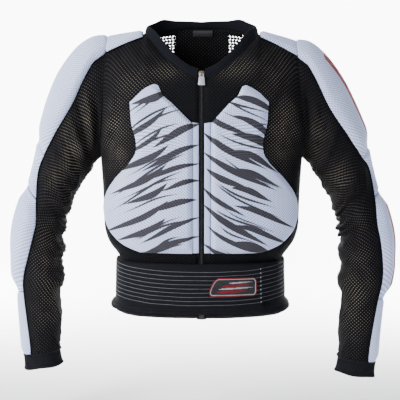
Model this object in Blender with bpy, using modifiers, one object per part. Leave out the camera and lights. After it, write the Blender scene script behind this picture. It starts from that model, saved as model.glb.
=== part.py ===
"""A protective chest jacket in its worn form: net body and sleeves, white pads, collar, zip and kidney belt.

Metres, +Z up, the front faces -Y. Right and left are the wearer's: right lies at -X. The origin is at the middle of
the neck, level with the tops of the shoulders.
"""

from collections import namedtuple
from math import asin, atan2, cos, pi, radians, sin, sqrt

import bmesh
import bpy
from mathutils import Matrix, Vector

# Body
BODY_LENGTH = 0.536
ARMPIT_DROP = 0.228
YOKE_DROP = 0.120
CHEST_HALF_WIDTH = 0.200
CHEST_FRONT_DEPTH = 0.124
BACK_DEPTH = 0.112
BODY_ROUNDNESS = 2.5
CLOTH = 0.002
SEAM_GAP = 0.0010
PAD_GAP = 0.0010
SHOULDER_GAP = 0.0016
CHEST_GAP = 0.0021
ARM_GAP = 0.0021
FOREARM_GAP = 0.0013
BELT_ROOM = 0.0020

# Shoulders and armholes
SHOULDER_RISE = 0.013
ARMHOLE_TOP_HALF = 0.92 * CHEST_HALF_WIDTH

# Neck and collar
NECK_HALF_WIDTH = 0.56 * CHEST_HALF_WIDTH
NECK_FRONT_DEPTH = 0.100
NECK_BACK_DEPTH = 0.085
NECK_FRONT_DROP = 0.076
NECK_BACK_RISE = 0.027
NECKLINE_BEND = 1.6
COLLAR_HEIGHT = 0.024
COLLAR_WALL = 0.003
COLLAR_ROOM = 0.0018

# Sleeves and cuffs
SLEEVE_SPREAD = 0.200
SLEEVE_LENGTH = 0.623
UNDERARM_LENGTH = 0.384
SLEEVE_HALF_DEPTH = 0.070
UPPER_SHARE = 0.26
CUFF_LENGTH = 0.030
CUFF_WALL = 0.0025
CUFF_OUTSET = 0.0035

# Padding
CHEST_PADDING = 0.008
SHOULDER_PADDING = 0.007
ARM_PADDING = 0.009
ELBOW_PADDING = 0.013
FOREARM_PADDING = 0.007
PAD_EDGE_SHARE = 0.35
PLACKET_WIDTH = 0.011
PLACKET_WALL = 0.0015

# Belt
BELT_HEIGHT = 0.106
BELT_WALL = 0.0030
BELT_RIBS = 9
BELT_RIB_RISE = 0.0010
BELT_HEM = 0.026
HEM_FLARE = 0.008
BELT_TOP_BAND = 0.008
BELT_TUCK = 0.010
BELT_WIDENING = 0.003
FLAP_REACH = 0.1125
FLAP_EDGE_RAISE = 0.0110
BADGE_WIDTH = 0.086
BADGE_HEIGHT = 0.032
BADGE_INSET = 0.014
BADGE_RAISE = 0.020
BADGE_WALL = 0.0012

# Zip
CHAIN_HALF_WIDTH = 0.0021
CHAIN_WALL = 0.0024
TAPE_WIDTH = 0.0018
TAPE_WALL = 0.0014
ZIP_TOP_INSET = 0.003
ZIP_STEP = 0.004
SLIDER_WIDTH = 0.0118
SLIDER_LENGTH = 0.0140
SLIDER_PLATE = 0.0024
BRIDGE_WIDTH = 0.0028
BRIDGE_WALL = 0.0014
BRIDGE_ROOM = 0.0026
PULLER_LENGTH = 0.0240
PULLER_WIDTH = 0.0132
PULLER_WALL = 0.0018
PULLER_LEG = 0.0016
PULLER_ROOM = 0.0010
PULLER_TAPER = 0.82
SLIDER_TAPER = 0.80
SLIDER_RAISE = 0.0070
BRIDGE_LENGTH = 0.0100
CHAIN_PROUD = 0.0008
RUN_GAP = 0.0004
END_BOX_WIDTH = 0.0062
END_BOX_HEIGHT = 0.0100

# Counts
SIDE_COLUMNS = 8
NECK_COLUMNS = 4
SLEEVE_SIDES = 16
PAD_COLUMNS = 8
COLLAR_STATIONS = 28
BELT_STATIONS = 28
FLAP_STATIONS = 14

# Each side's own fall: how steeply the shoulder drops, how wide the sleeve spreads below and near the shoulder, how
# much longer it hangs at its outer and under edge and how far in at the wrist, whether the elbow is turned outward,
# and how much narrower its chest pad gets towards the top
Side = namedtuple("Side", "name sign shoulder_fall spread upper_spread extra_length under_extra wrist_inset turn pad_lean")
SIDES = [
    Side("right", -1, 0.17, 0.98, 0.92, 0.000, 0.000, 0.000, 0, 0.000),
    Side("left", 1, 0.29, 1.03, 0.80, 0.007, 0.008, 0.014, 1, 0.065),
]

# The body from the belt up to the yoke. Height is a share of the rise from the belt's top to the armpit, and above 1
# a share of the rise from there to the yoke; widths and depths are shares of the chest's.
BodyRow = namedtuple("BodyRow", "height half_width front back pad_outer")
BODY = [
    BodyRow(0.000, 0.800, 0.855, 0.860, 0.000),
    BodyRow(0.055, 0.835, 0.880, 0.870, 0.000),
    BodyRow(0.108, 0.875, 0.915, 0.885, 0.575),
    BodyRow(0.170, 0.918, 0.945, 0.900, 0.740),
    BodyRow(0.245, 0.948, 0.965, 0.915, 0.840),
    BodyRow(0.330, 0.965, 0.985, 0.930, 0.905),
    BodyRow(0.450, 0.970, 1.000, 0.945, 0.940),
    BodyRow(0.620, 0.975, 1.015, 0.965, 0.932),
    BodyRow(0.795, 0.985, 1.015, 0.990, 0.835),
    BodyRow(1.000, 1.000, 0.995, 1.015, 0.660),
    BodyRow(1.260, 1.030, 0.980, 1.025, 0.620),
    BodyRow(1.630, 1.060, 0.955, 1.030, 0.665),
    BodyRow(2.000, 1.075, 0.925, 1.020, 0.680),
]

# The yoke above it, closing over the shoulders. Rise is a share of the way up to the neckline and the shoulder line;
# the pad's edges are shares of the chest's half width.
YokeRow = namedtuple("YokeRow", "rise pad_inner pad_outer")
YOKE = [
    YokeRow(0.15, 0.370, 0.575),
    YokeRow(0.32, 0.412, 0.450),
    YokeRow(0.55, 0.000, 0.000),
    YokeRow(0.78, 0.000, 0.000),
    YokeRow(0.95, 0.000, 0.000),
    YokeRow(1.00, 0.000, 0.000),
]
PAD_NECK_EDGE = 0.290

# The sleeve from the armhole down. Out and down place its outer edge, in_out and in_down its under edge, as shares of
# the spread and of the two lengths; depth is a share of the half depth, back and gather of it too. Strip is half the
# angle that the white padding spans, turn how far it turns to the back on a turned elbow, and armhole how much the
# section still has the armhole's form.
SleeveRow = namedtuple("SleeveRow", "out down in_out in_down depth back gather strip turn armhole")
SLEEVE = [
    SleeveRow(0.000, 0.000, 0.000, 0.000, 1.00, 0.00, 0.00, 36, 0, 1.0),
    SleeveRow(0.140, 0.003, 0.030, 0.021, 1.00, 0.00, 0.00, 51, 0, 0.7),
    SleeveRow(0.280, 0.030, 0.065, 0.042, 1.00, 0.00, 0.02, 64, 0, 0.4),
    SleeveRow(0.400, 0.072, 0.105, 0.073, 0.99, 0.00, -0.03, 72, 0, 0.2),
    SleeveRow(0.505, 0.127, 0.155, 0.115, 0.98, 0.00, 0.03, 73, 0, 0.0),
    SleeveRow(0.580, 0.191, 0.220, 0.164, 0.96, 0.02, -0.02, 69, 0, 0.0),
    SleeveRow(0.635, 0.255, 0.275, 0.219, 0.93, 0.04, 0.02, 63, 0, 0.0),
    SleeveRow(0.680, 0.319, 0.320, 0.276, 0.90, 0.06, -0.03, 53, 4, 0.0),
    SleeveRow(0.730, 0.391, 0.355, 0.323, 0.87, 0.08, 0.04, 44, 20, 0.0),
    SleeveRow(0.795, 0.463, 0.375, 0.375, 0.86, 0.10, -0.07, 61, 24, 0.0),
    SleeveRow(0.870, 0.527, 0.390, 0.427, 0.85, 0.10, 0.06, 78, 22, 0.0),
    SleeveRow(0.930, 0.600, 0.395, 0.479, 0.84, 0.08, -0.07, 78, 20, 0.0),
    SleeveRow(0.940, 0.680, 0.390, 0.552, 0.80, 0.04, 0.06, 66, 16, 0.0),
    SleeveRow(0.930, 0.744, 0.390, 0.630, 0.75, -0.02, -0.05, 51, 8, 0.0),
    SleeveRow(0.900, 0.795, 0.410, 0.708, 0.70, -0.07, 0.04, 41, 0, 0.0),
    SleeveRow(0.885, 0.877, 0.420, 0.833, 0.61, -0.15, -0.03, 49, 0, 0.0),
    SleeveRow(0.865, 0.960, 0.420, 0.958, 0.51, -0.22, 0.02, 55, 0, 0.0),
    SleeveRow(0.850, 1.000, 0.415, 1.000, 0.47, -0.25, 0.00, 52, 0, 0.0),
]

# The padding on a sleeve: the rows where each piece starts and ends, the faces across it, and its gap to the sleeve
ArmPad = namedtuple("ArmPad", "name first last columns padding gap")
ARM_PADS = [
    ArmPad("upper_arm_pad", 0, 7, 8, ARM_PADDING, ARM_GAP),
    ArmPad("elbow_link", 7, 9, 6, FOREARM_PADDING, ARM_GAP),
    ArmPad("elbow_pad", 9, 14, 10, ELBOW_PADDING, ARM_GAP),
    ArmPad("forearm_pad", 14, 17, 6, FOREARM_PADDING, FOREARM_GAP),
]

# The cuff below the sleeve's end: down is a share of the cuff's length, flare and depth widen it
CuffRow = namedtuple("CuffRow", "down flare depth")
CUFF = [
    CuffRow(0.00, 0.96, 0.98),
    CuffRow(0.35, 0.93, 0.96),
    CuffRow(1.00, 1.02, 1.02),
]

# The collar round the neck, from the front middle to the back middle: its height and how far it leans in, both as
# shares of the collar's height
CollarRow = namedtuple("CollarRow", "angle height lean")
COLLAR = [
    CollarRow(0, 0.70, 0.24),
    CollarRow(25, 0.70, 0.24),
    CollarRow(45, 0.80, 0.34),
    CollarRow(65, 0.66, 0.46),
    CollarRow(90, 0.55, 0.15),
    CollarRow(105, 0.68, 0.06),
    CollarRow(120, 0.82, 0.08),
    CollarRow(135, 0.98, 0.08),
    CollarRow(150, 0.74, 0.12),
    CollarRow(180, 0.52, 0.15),
]

# The belt's hem from its lower edge up: height is a share of the hem's height, flare of how far it stands out
HemRow = namedtuple("HemRow", "height flare")
HEM = [
    HemRow(0.00, -0.6),
    HemRow(0.28, 0.8),
    HemRow(0.62, 1.0),
    HemRow(1.00, 0.0),
]

BLACK_CLOTH = ("black net fabric", (0.012, 0.012, 0.014), 0.85, 0.0)
WHITE_MESH = ("white air-mesh padding", (0.72, 0.77, 0.88), 0.80, 0.0)
BELT_CLOTH = ("ribbed elastic", (0.010, 0.010, 0.012), 0.75, 0.0)
NYLON = ("black nylon", (0.010, 0.010, 0.010), 0.50, 0.0)
CAST_ZINC = ("cast zinc", (0.55, 0.50, 0.42), 0.35, 1.0)
RUBBER = ("badge rubber", (0.030, 0.030, 0.035), 0.60, 0.0)

BELT_TOP = BELT_HEIGHT - BODY_LENGTH
FRONT_EDGE = CHAIN_HALF_WIDTH + TAPE_WIDTH + 2 * SEAM_GAP


def clear_scene():
    for obj in list(bpy.data.objects):
        bpy.data.objects.remove(obj, do_unlink=True)


def make_collection(name):
    collection = bpy.data.collections.new(name)
    bpy.context.scene.collection.children.link(collection)
    return collection


def make_material(node_name, finish):
    label, colour, roughness, metallic = finish
    material = bpy.data.materials.new(f"{node_name} {label}")
    material.use_nodes = True
    shader = material.node_tree.nodes["Principled BSDF"]
    shader.inputs["Base Color"].default_value = (*colour, 1.0)
    shader.inputs["Roughness"].default_value = roughness
    shader.inputs["Metallic"].default_value = metallic
    return material


def mix(low, high, share):
    return low + (high - low) * share


def read_table(rows, key, value, column):
    """The column's value where the key column reaches value, straight between rows."""
    first, second = rows[0], rows[1]
    for second in rows[1:]:
        if getattr(second, key) >= value:
            break
        first = second
    span = getattr(second, key) - getattr(first, key)
    share = (value - getattr(first, key)) / span if span else 0.0
    return mix(getattr(first, column), getattr(second, column), min(max(share, 0.0), 1.0))


def body_height(row):
    """The height of a body row: up to 1 from the belt to the armpit, from 1 to 2 on to the yoke."""
    if row.height <= 1.0:
        return mix(BELT_TOP, -ARMPIT_DROP, row.height)
    return mix(-ARMPIT_DROP, -YOKE_DROP, row.height - 1.0)


def height_share(z):
    """The same scale read backwards."""
    if z <= -ARMPIT_DROP:
        return (z - BELT_TOP) / (-ARMPIT_DROP - BELT_TOP)
    return 1.0 + (z + ARMPIT_DROP) / (ARMPIT_DROP - YOKE_DROP)


def body_size(z):
    """Half width, front depth and back depth of the body's section at height z."""
    share = height_share(min(z, -YOKE_DROP))
    half_width = CHEST_HALF_WIDTH * read_table(BODY, "height", share, "half_width")
    front = CHEST_FRONT_DEPTH * read_table(BODY, "height", share, "front")
    back = BACK_DEPTH * read_table(BODY, "height", share, "back")
    return half_width, front, back


def armhole_half(z):
    """How far out the armhole's plane lies at height z. At the armpit it meets the side seam."""
    share = min(max((z + ARMPIT_DROP) / ARMPIT_DROP, 0.0), 1.2)
    return mix(CHEST_HALF_WIDTH, ARMHOLE_TOP_HALF, share)


def shoulder_line(x, side):
    return SHOULDER_RISE - side.shoulder_fall * (abs(x) - NECK_HALF_WIDTH)


def top_edge(x, side, front):
    """Depth and height of the body's top edge at x: the neckline near the neck, the shoulder line beyond it."""
    share = min(abs(x) / NECK_HALF_WIDTH, 1.0)
    if share == 1.0:
        return 0.0, shoulder_line(x, side)
    if front:
        depth = NECK_FRONT_DEPTH * sqrt(1.0 - share**2)
        return depth, mix(-NECK_FRONT_DROP, SHOULDER_RISE, share**NECKLINE_BEND)
    depth = NECK_BACK_DEPTH * (1.0 - share**2.4) ** (1 / 2.4)
    return depth, mix(NECK_BACK_RISE, SHOULDER_RISE, share**2)


def section_depth(x, z, front):
    half_width, front_depth, back_depth = body_size(z)
    depth = front_depth if front else back_depth
    share = min(abs(x) / half_width, 1.0)
    return depth * (1.0 - share**BODY_ROUNDNESS) ** (1 / BODY_ROUNDNESS)


def yoke_fullness(x, rise):
    """How much of the section's depth is left at this rise: flat towards the neck, round over the shoulder."""
    round_share = min(abs(x) / NECK_HALF_WIDTH, 1.0) ** 2
    return mix(1.0 - rise**1.7, sqrt(max(1.0 - rise**2, 0.0)), round_share)


def body_point(x, level, side, front, along_seam=0.0):
    """A point of the body's surface. Level is a height up to the yoke, and above it the yoke's rise plus 1."""
    face = -1.0 if front else 1.0
    if level <= -YOKE_DROP:
        depth, z = section_depth(x, level, front), level
    else:
        rise = level - 1.0
        top_depth, top_z = top_edge(x, side, front)
        depth = mix(top_depth, section_depth(x, -YOKE_DROP, front), yoke_fullness(x, rise))
        z = mix(-YOKE_DROP, top_z, rise)
    return Vector((x, face * (depth + along_seam), z))


def surface_depth(x, z, side, front):
    """The depth of the body's surface at x and z."""
    if z <= -YOKE_DROP:
        return section_depth(x, z, front)
    top_depth, top_z = top_edge(x, side, front)
    rise = min((z + YOKE_DROP) / (top_z + YOKE_DROP), 1.0)
    return mix(top_depth, section_depth(x, -YOKE_DROP, front), yoke_fullness(x, rise))


def edge_half(level, side):
    """Where the body panel ends at this level: the side seam, or the armhole above the armpit."""
    if level <= -ARMPIT_DROP:
        return body_size(level)[0]
    if level <= -YOKE_DROP:
        return armhole_half(level) - SEAM_GAP / 2
    half = ARMHOLE_TOP_HALF
    for _ in range(4):
        half = armhole_half(mix(-YOKE_DROP, shoulder_line(half, side), level - 1.0)) - SEAM_GAP / 2
    return half


def body_levels():
    """The levels of the body's rows, from the edge that is tucked into the belt up to the top edge."""
    return [BELT_TOP - BELT_TUCK] + [body_height(row) for row in BODY] + [1.0 + row.rise for row in YOKE]


def girth_angle(x, level):
    """The angle round the section that reaches x, so that columns stay evenly spread round the side."""
    half_width = body_size(min(level, -YOKE_DROP))[0]
    return asin(min(abs(x) / half_width, 1.0) ** (BODY_ROUNDNESS / 2))


def column_x(level, start, end, share):
    """The x of a column between two x values on one row, at equal steps of angle."""
    half_width = body_size(min(level, -YOKE_DROP))[0]
    angle = mix(girth_angle(start, level), girth_angle(end, level), share)
    return half_width * sin(angle) ** (2 / BODY_ROUNDNESS)


def body_column_x(level, start, side, column):
    """The x of a column of a body panel. One column always runs up to the side of the neck."""
    if column <= NECK_COLUMNS:
        return column_x(level, start, NECK_HALF_WIDTH, column / NECK_COLUMNS)
    share = (column - NECK_COLUMNS) / (SIDE_COLUMNS - NECK_COLUMNS)
    return column_x(level, NECK_HALF_WIDTH, edge_half(level, side), share)


def grid_mesh(across, along, place):
    """A grid of across by along faces whose points go where place(i, j) says."""
    bm = bmesh.new()
    bmesh.ops.create_grid(bm, x_segments=across, y_segments=along, size=0.5)
    for vert in bm.verts:
        i = round((vert.co.x + 0.5) * across)
        j = round((vert.co.y + 0.5) * along)
        vert.co = place(i, j)
    bmesh.ops.remove_doubles(bm, verts=bm.verts, dist=1e-6)
    bm.normal_update()
    return bm


def face_outward(bm, inside):
    """Turns an open surface so that its faces look away from the inside point."""
    facing = sum((face.calc_center_median() - inside).dot(face.normal) * face.calc_area() for face in bm.faces)
    if facing < 0:
        bmesh.ops.reverse_faces(bm, faces=bm.faces)
        bm.normal_update()


def stand_off(bm, distance):
    moves = [(vert, vert.normal * distance) for vert in bm.verts]
    for vert, move in moves:
        vert.co += move


def add_object(name, bm, finish):
    mesh = bpy.data.meshes.new(name)
    bm.to_mesh(mesh)
    bm.free()
    obj = bpy.data.objects.new(name, mesh)
    mesh.materials.append(make_material(name, finish))
    mesh.shade_smooth()
    mesh.set_sharp_from_angle(angle=radians(50))
    JACKET.objects.link(obj)
    return obj


def add_wall(obj, thickness, outward):
    wall = obj.modifiers.new("wall", "SOLIDIFY")
    wall.thickness = thickness
    wall.offset = 1.0 if outward else -1.0
    return wall


def add_shell(name, bm, finish, thickness):
    add_wall(add_object(name, bm, finish), thickness, outward=False)


def add_pad(name, bm, finish, thickness, gap):
    """Padding that stands on the surface and thins towards its edges."""
    stand_off(bm, gap)
    inner = [vert.index for vert in bm.verts if not vert.is_boundary]
    obj = add_object(name, bm, finish)
    crown = obj.vertex_groups.new(name="crown")
    crown.add(inner, 1.0, "REPLACE")
    wall = add_wall(obj, thickness, outward=True)
    wall.vertex_group = crown.name
    wall.thickness_vertex_group = PAD_EDGE_SHARE


def make_front_panel(side):
    levels = body_levels()

    def place(i, j):
        level = levels[j]
        x = body_column_x(level, FRONT_EDGE, side, i)
        return body_point(side.sign * x, level, side, True, SEAM_GAP / 2)

    bm = grid_mesh(SIDE_COLUMNS, len(levels) - 1, place)
    face_outward(bm, Vector((0, 0, -BODY_LENGTH / 2)))
    add_shell(f"front_panel_{side.name}", bm, BLACK_CLOTH, CLOTH)


def make_back_panel():
    levels = body_levels()

    def place(i, j):
        side = SIDES[0] if i < SIDE_COLUMNS else SIDES[1]
        level = levels[j]
        x = body_column_x(level, 0.0, side, abs(i - SIDE_COLUMNS))
        return body_point(side.sign * x, level, side, False, SEAM_GAP / 2)

    bm = grid_mesh(2 * SIDE_COLUMNS, len(levels) - 1, place)
    face_outward(bm, Vector((0, 0, -BODY_LENGTH / 2)))
    add_shell("back_panel", bm, BLACK_CLOTH, CLOTH)


def pad_rows():
    """The body rows that a chest pad crosses with its straight inner edge."""
    return [row for row in BODY[:-1] if row.pad_outer > 0]


def chest_pad_edges(side):
    """Level, inner x and outer x of each row of a chest pad."""
    inner_edge = FRONT_EDGE + PLACKET_WIDTH + SEAM_GAP
    edges = []
    for row in pad_rows():
        reach = CHEST_HALF_WIDTH * (1.0 - side.pad_lean * min(row.height, 1.0) ** 2)
        edges.append((body_height(row), inner_edge, reach * row.pad_outer))
    reach = CHEST_HALF_WIDTH * (1.0 - side.pad_lean)
    edges.append((-YOKE_DROP, reach * PAD_NECK_EDGE, reach * BODY[-1].pad_outer))
    for row in YOKE:
        if row.pad_outer > 0:
            edges.append((1.0 + row.rise, reach * row.pad_inner, reach * row.pad_outer))
    return edges


def make_chest_pad(side):
    edges = chest_pad_edges(side)

    def place(i, j):
        level, inner_x, outer_x = edges[j]
        x = column_x(level, inner_x, outer_x, i / PAD_COLUMNS)
        return body_point(side.sign * x, level, side, True, SEAM_GAP / 2)

    bm = grid_mesh(PAD_COLUMNS, len(edges) - 1, place)
    face_outward(bm, Vector((0, 0, -BODY_LENGTH / 2)))
    add_pad(f"chest_pad_{side.name}", bm, WHITE_MESH, CHEST_PADDING, CHEST_GAP)


def make_placket(side):
    """The smooth strip between the zip and the pad, as high as the pad's straight edge."""
    levels = [body_height(row) for row in pad_rows()]

    def place(i, j):
        x = FRONT_EDGE + PLACKET_WIDTH * i
        return body_point(side.sign * x, levels[j], side, True, SEAM_GAP / 2)

    bm = grid_mesh(1, len(levels) - 1, place)
    face_outward(bm, Vector((0, 0, -BODY_LENGTH / 2)))
    stand_off(bm, PAD_GAP)
    add_wall(add_object(f"placket_{side.name}", bm, WHITE_MESH), PLACKET_WALL, outward=True)


def make_shoulder_strip(side):
    """White padding over the shoulder, from the collar to the armhole."""
    steps = 3
    columns = PAD_COLUMNS
    inner_half = NECK_HALF_WIDTH + COLLAR_WALL + PAD_GAP

    def place(i, j):
        x = mix(inner_half, edge_half(2.0, side) - SEAM_GAP, j / steps)
        reach = mix(0.36, 0.62, j / steps)
        angle = (2 * i / columns - 1) * asin(reach)
        front = angle < 0
        depth = section_depth(x, -YOKE_DROP, front)
        y = depth * sin(angle)
        z = mix(-YOKE_DROP, shoulder_line(x, side), cos(angle))
        return Vector((side.sign * x, y, z))

    bm = grid_mesh(columns, steps, place)
    face_outward(bm, Vector((0, 0, -BODY_LENGTH / 2)))
    add_pad(f"shoulder_strip_{side.name}", bm, WHITE_MESH, SHOULDER_PADDING, SHOULDER_GAP)


def sleeve_edges(row, side):
    """The outer and the under edge of a sleeve row, as points of the front view."""
    top_half = edge_half(2.0, side) + SEAM_GAP
    top = Vector((top_half, 0, shoulder_line(top_half, side)))
    pit = Vector((CHEST_HALF_WIDTH + SEAM_GAP, 0, -ARMPIT_DROP))
    inset = side.wrist_inset * row.down**3
    drop = side.extra_length * row.down
    under_drop = drop + side.under_extra * row.in_down**3
    spread = SLEEVE_SPREAD * mix(side.upper_spread, side.spread, min(row.down / UPPER_SHARE, 1.0))
    outer = top + Vector((spread * row.out - inset, 0, -SLEEVE_LENGTH * row.down - drop))
    spread = SLEEVE_SPREAD * side.spread
    under = pit + Vector((spread * row.in_out - inset, 0, -UNDERARM_LENGTH * row.in_down - under_drop))
    return outer, under


def armhole_depth(share, side, front):
    """The armhole's depth at a share of the way from its top down to the armpit."""
    top_half = edge_half(2.0, side) + SEAM_GAP
    z = mix(shoulder_line(top_half, side), -ARMPIT_DROP, share)
    return surface_depth(armhole_half(z) + SEAM_GAP / 2, z, side, front)


def sleeve_point(row, angle, side):
    """A point of the sleeve: angle 0 is the outer edge, 90 degrees the front, 180 degrees the under edge."""
    outer, under = sleeve_edges(row, side)
    middle = (outer + under) / 2
    share = (1 - cos(angle)) / 2
    front = sin(angle) > 0
    face = -1.0 if front else 1.0
    round_depth = SLEEVE_HALF_DEPTH * row.depth * abs(sin(angle))
    depth = mix(round_depth, armhole_depth(share, side, front), row.armhole)
    point = middle + (outer - under) / 2 * cos(angle)
    if row.armhole == 1.0:
        point.x = armhole_half(point.z) + SEAM_GAP / 2
    point.y = face * depth + SLEEVE_HALF_DEPTH * row.back
    inward = (outer - under).normalized() * max(-cos(angle), 0.0) ** 2
    point += inward * (SLEEVE_HALF_DEPTH * row.gather)
    point.x *= side.sign
    return point


def sleeve_middle(side):
    outer, under = sleeve_edges(SLEEVE[len(SLEEVE) // 2], side)
    middle = (outer + under) / 2
    return Vector((middle.x * side.sign, middle.y, middle.z))


def make_sleeve(side):
    def place(i, j):
        return sleeve_point(SLEEVE[j], 2 * pi * i / SLEEVE_SIDES, side)

    bm = grid_mesh(SLEEVE_SIDES, len(SLEEVE) - 1, place)
    face_outward(bm, sleeve_middle(side))
    add_shell(f"sleeve_{side.name}", bm, BLACK_CLOTH, CLOTH)


def make_arm_pad(side, pad):
    rows = SLEEVE[pad.first : pad.last + 1]
    trim = 0.03

    def place(i, j):
        row = rows[j]
        angle = radians(row.strip) * (2 * i / pad.columns - 1) - radians(row.turn) * side.turn
        point = sleeve_point(row, angle, side)
        if j == 0:
            point = mix(point, sleeve_point(rows[1], angle, side), trim)
        if j == len(rows) - 1:
            point = mix(point, sleeve_point(rows[-2], angle, side), trim)
        return point

    bm = grid_mesh(pad.columns, len(rows) - 1, place)
    face_outward(bm, sleeve_middle(side) - Vector((side.sign * SLEEVE_HALF_DEPTH, 0, 0)))
    add_pad(f"{pad.name}_{side.name}", bm, WHITE_MESH, pad.padding, pad.gap)


def make_cuff(side):
    outer, under = sleeve_edges(SLEEVE[-1], side)
    across = (outer - under).normalized()
    middle = (outer + under) / 2 + across * CUFF_OUTSET
    half = (outer - under) / 2 + across * CUFF_OUTSET
    down = Vector((half.z, 0, -half.x)).normalized()

    def place(i, j):
        row = CUFF[j]
        angle = 2 * pi * i / SLEEVE_SIDES
        point = middle + half * (cos(angle) * row.flare)
        point += down * (SEAM_GAP + CUFF_LENGTH * row.down)
        depth = SLEEVE_HALF_DEPTH * SLEEVE[-1].depth * row.depth
        point.y = SLEEVE_HALF_DEPTH * SLEEVE[-1].back - depth * sin(angle)
        point.x *= side.sign
        return point

    bm = grid_mesh(SLEEVE_SIDES, len(CUFF) - 1, place)
    face_outward(bm, Vector((side.sign * middle.x, SLEEVE_HALF_DEPTH * SLEEVE[-1].back, middle.z)))
    add_shell(f"cuff_{side.name}", bm, BLACK_CLOTH, CUFF_WALL)


def collar_base(angle, side):
    """The foot of the collar, on the neckline at this angle from the front middle."""
    front = angle < pi / 2
    x = NECK_HALF_WIDTH * sin(angle)
    depth, z = top_edge(min(x, NECK_HALF_WIDTH * 0.9999), side, front)
    y = -depth if front else depth
    return Vector((x, y, z + COLLAR_ROOM))


def collar_point(angle, share, side):
    degrees = angle * 180 / pi
    height = COLLAR_HEIGHT * read_table(COLLAR, "angle", degrees, "height")
    lean = COLLAR_HEIGHT * read_table(COLLAR, "angle", degrees, "lean")
    base = collar_base(angle, side)
    outward = Vector((sin(angle), -cos(angle), 0))
    return base + Vector((0, 0, height * share)) - outward * (lean * share)


def make_collar():
    steps = 2
    half = COLLAR_STATIONS // 2
    start = asin((FRONT_EDGE + SEAM_GAP) / NECK_HALF_WIDTH)

    def place(i, j):
        side = SIDES[0] if i < half else SIDES[1]
        angle = mix(pi, start, abs(i - half) / half)
        point = collar_point(angle, j / steps, side)
        point.x *= side.sign
        return point

    bm = grid_mesh(COLLAR_STATIONS, steps, place)
    face_outward(bm, Vector((0, 0, 0)))
    add_shell("collar", bm, BLACK_CLOTH, COLLAR_WALL)


def zip_line():
    """Points down the middle of the front, from the top of the collar to the hem: the zip's path."""
    side = SIDES[0]
    top = collar_point(0.0, 1.0, side)
    foot = collar_point(0.0, 0.0, side)
    path = [Vector((0, top.y, top.z - ZIP_TOP_INSET)), Vector((0, foot.y, foot.z))]
    for level in reversed(body_levels()[1:-1]):
        point = body_point(0.0, level, side, True)
        if path[-1].z - point.z > ZIP_STEP and point.z - BELT_TOP > ZIP_STEP:
            path.append(point)
    zip_end = END_BOX_HEIGHT + RUN_GAP
    heights = [BELT_HEM * row.height for row in reversed(HEM) if BELT_HEM * row.height > zip_end]
    for height in [BELT_HEIGHT] + heights + [zip_end]:
        path.append(belt_point(0.0, BELT_WALL, height - BODY_LENGTH))
    return path


def belt_size(z):
    """Half width, front depth and back depth of the belt's inner face at height z."""
    row = BODY[0]
    hem_share = min((z + BODY_LENGTH) / BELT_HEM, 1.0)
    widen = BELT_ROOM + BELT_WIDENING * (BELT_TOP - z) / BELT_HEIGHT
    widen += HEM_FLARE * read_table(HEM, "height", hem_share, "flare")
    half_width = CHEST_HALF_WIDTH * row.half_width + widen
    return half_width, CHEST_FRONT_DEPTH * row.front + widen, BACK_DEPTH * row.back + widen


def belt_point(angle, out, z):
    """A point round the belt at this angle from the front middle, out from the belt's inner face."""
    half_width, front_depth, back_depth = belt_size(z)
    depth = front_depth if cos(angle) > 0 else back_depth
    shape = 2 / BODY_ROUNDNESS
    x = (half_width + out) * abs(sin(angle)) ** shape * (1 if sin(angle) > 0 else -1)
    y = -(depth + out) * abs(cos(angle)) ** shape * (1 if cos(angle) > 0 else -1)
    return Vector((x, y, z))


def belt_profile(lowest):
    """The belt's section, down inside the hem, up the ribbed outside and over to the inside: (out, z) pairs."""
    hem_rows = [BELT_HEM * row.height for row in HEM]
    hem_heights = [height - BODY_LENGTH for height in [lowest] + hem_rows if height >= lowest]
    if hem_heights[0] == hem_heights[1]:
        hem_heights = hem_heights[1:]
    profile = [(0.0, z) for z in reversed(hem_heights)]
    profile += [(BELT_WALL, z) for z in hem_heights[:-1]]
    pitch = (BELT_HEIGHT - BELT_HEM - BELT_TOP_BAND) / BELT_RIBS
    for rib in range(BELT_RIBS):
        low = hem_heights[-1] + pitch * rib
        profile.append((BELT_WALL, low))
        profile.append((BELT_WALL + BELT_RIB_RISE, low + pitch / 2))
    profile.append((BELT_WALL, BELT_TOP - BELT_TOP_BAND))
    profile.append((BELT_WALL, BELT_TOP))
    profile.append((0.0, BELT_TOP))
    return profile


def sweep_belt(name, start, end, stations, lift, lowest):
    """Sweeps the belt's section round from one angle to another, and closes its two ends."""
    profile = belt_profile(lowest)
    count = len(profile)

    def place(i, j):
        out, z = profile[i % count]
        return belt_point(mix(start, end, j / stations), out + lift, z)

    bm = grid_mesh(count, stations, place)
    bmesh.ops.holes_fill(bm, edges=[edge for edge in bm.edges if edge.is_boundary])
    bmesh.ops.recalc_face_normals(bm, faces=bm.faces)
    return add_object(name, bm, BELT_CLOTH)


def belt_angle(x):
    half_width = belt_size(BELT_TOP)[0] + BELT_WALL
    return asin((x / half_width) ** (BODY_ROUNDNESS / 2))


def make_belt():
    gap_angle = belt_angle(FRONT_EDGE)
    sweep_belt("belt_band", gap_angle, 2 * pi - gap_angle, BELT_STATIONS, 0.0, 0.0)
    lift = BELT_WALL + BELT_RIB_RISE + PAD_GAP
    sweep_belt("belt_flap", -radians(100), belt_angle(FLAP_REACH), FLAP_STATIONS, lift, FLAP_EDGE_RAISE)


def make_badge():
    columns, rows = 6, 2
    middle_z = BELT_HEM + BADGE_RAISE + BADGE_HEIGHT / 2 - BODY_LENGTH
    lift = 2 * (BELT_WALL + BELT_RIB_RISE + PAD_GAP)

    def place(i, j):
        x = BADGE_INSET + BADGE_WIDTH * i / columns
        return belt_point(belt_angle(x), lift, middle_z + BADGE_HEIGHT * (j / rows - 0.5))

    bm = grid_mesh(columns, rows, place)
    face_outward(bm, Vector((0, 0, middle_z)))
    add_wall(add_object("belt_badge", bm, RUBBER), BADGE_WALL, outward=True)


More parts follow.
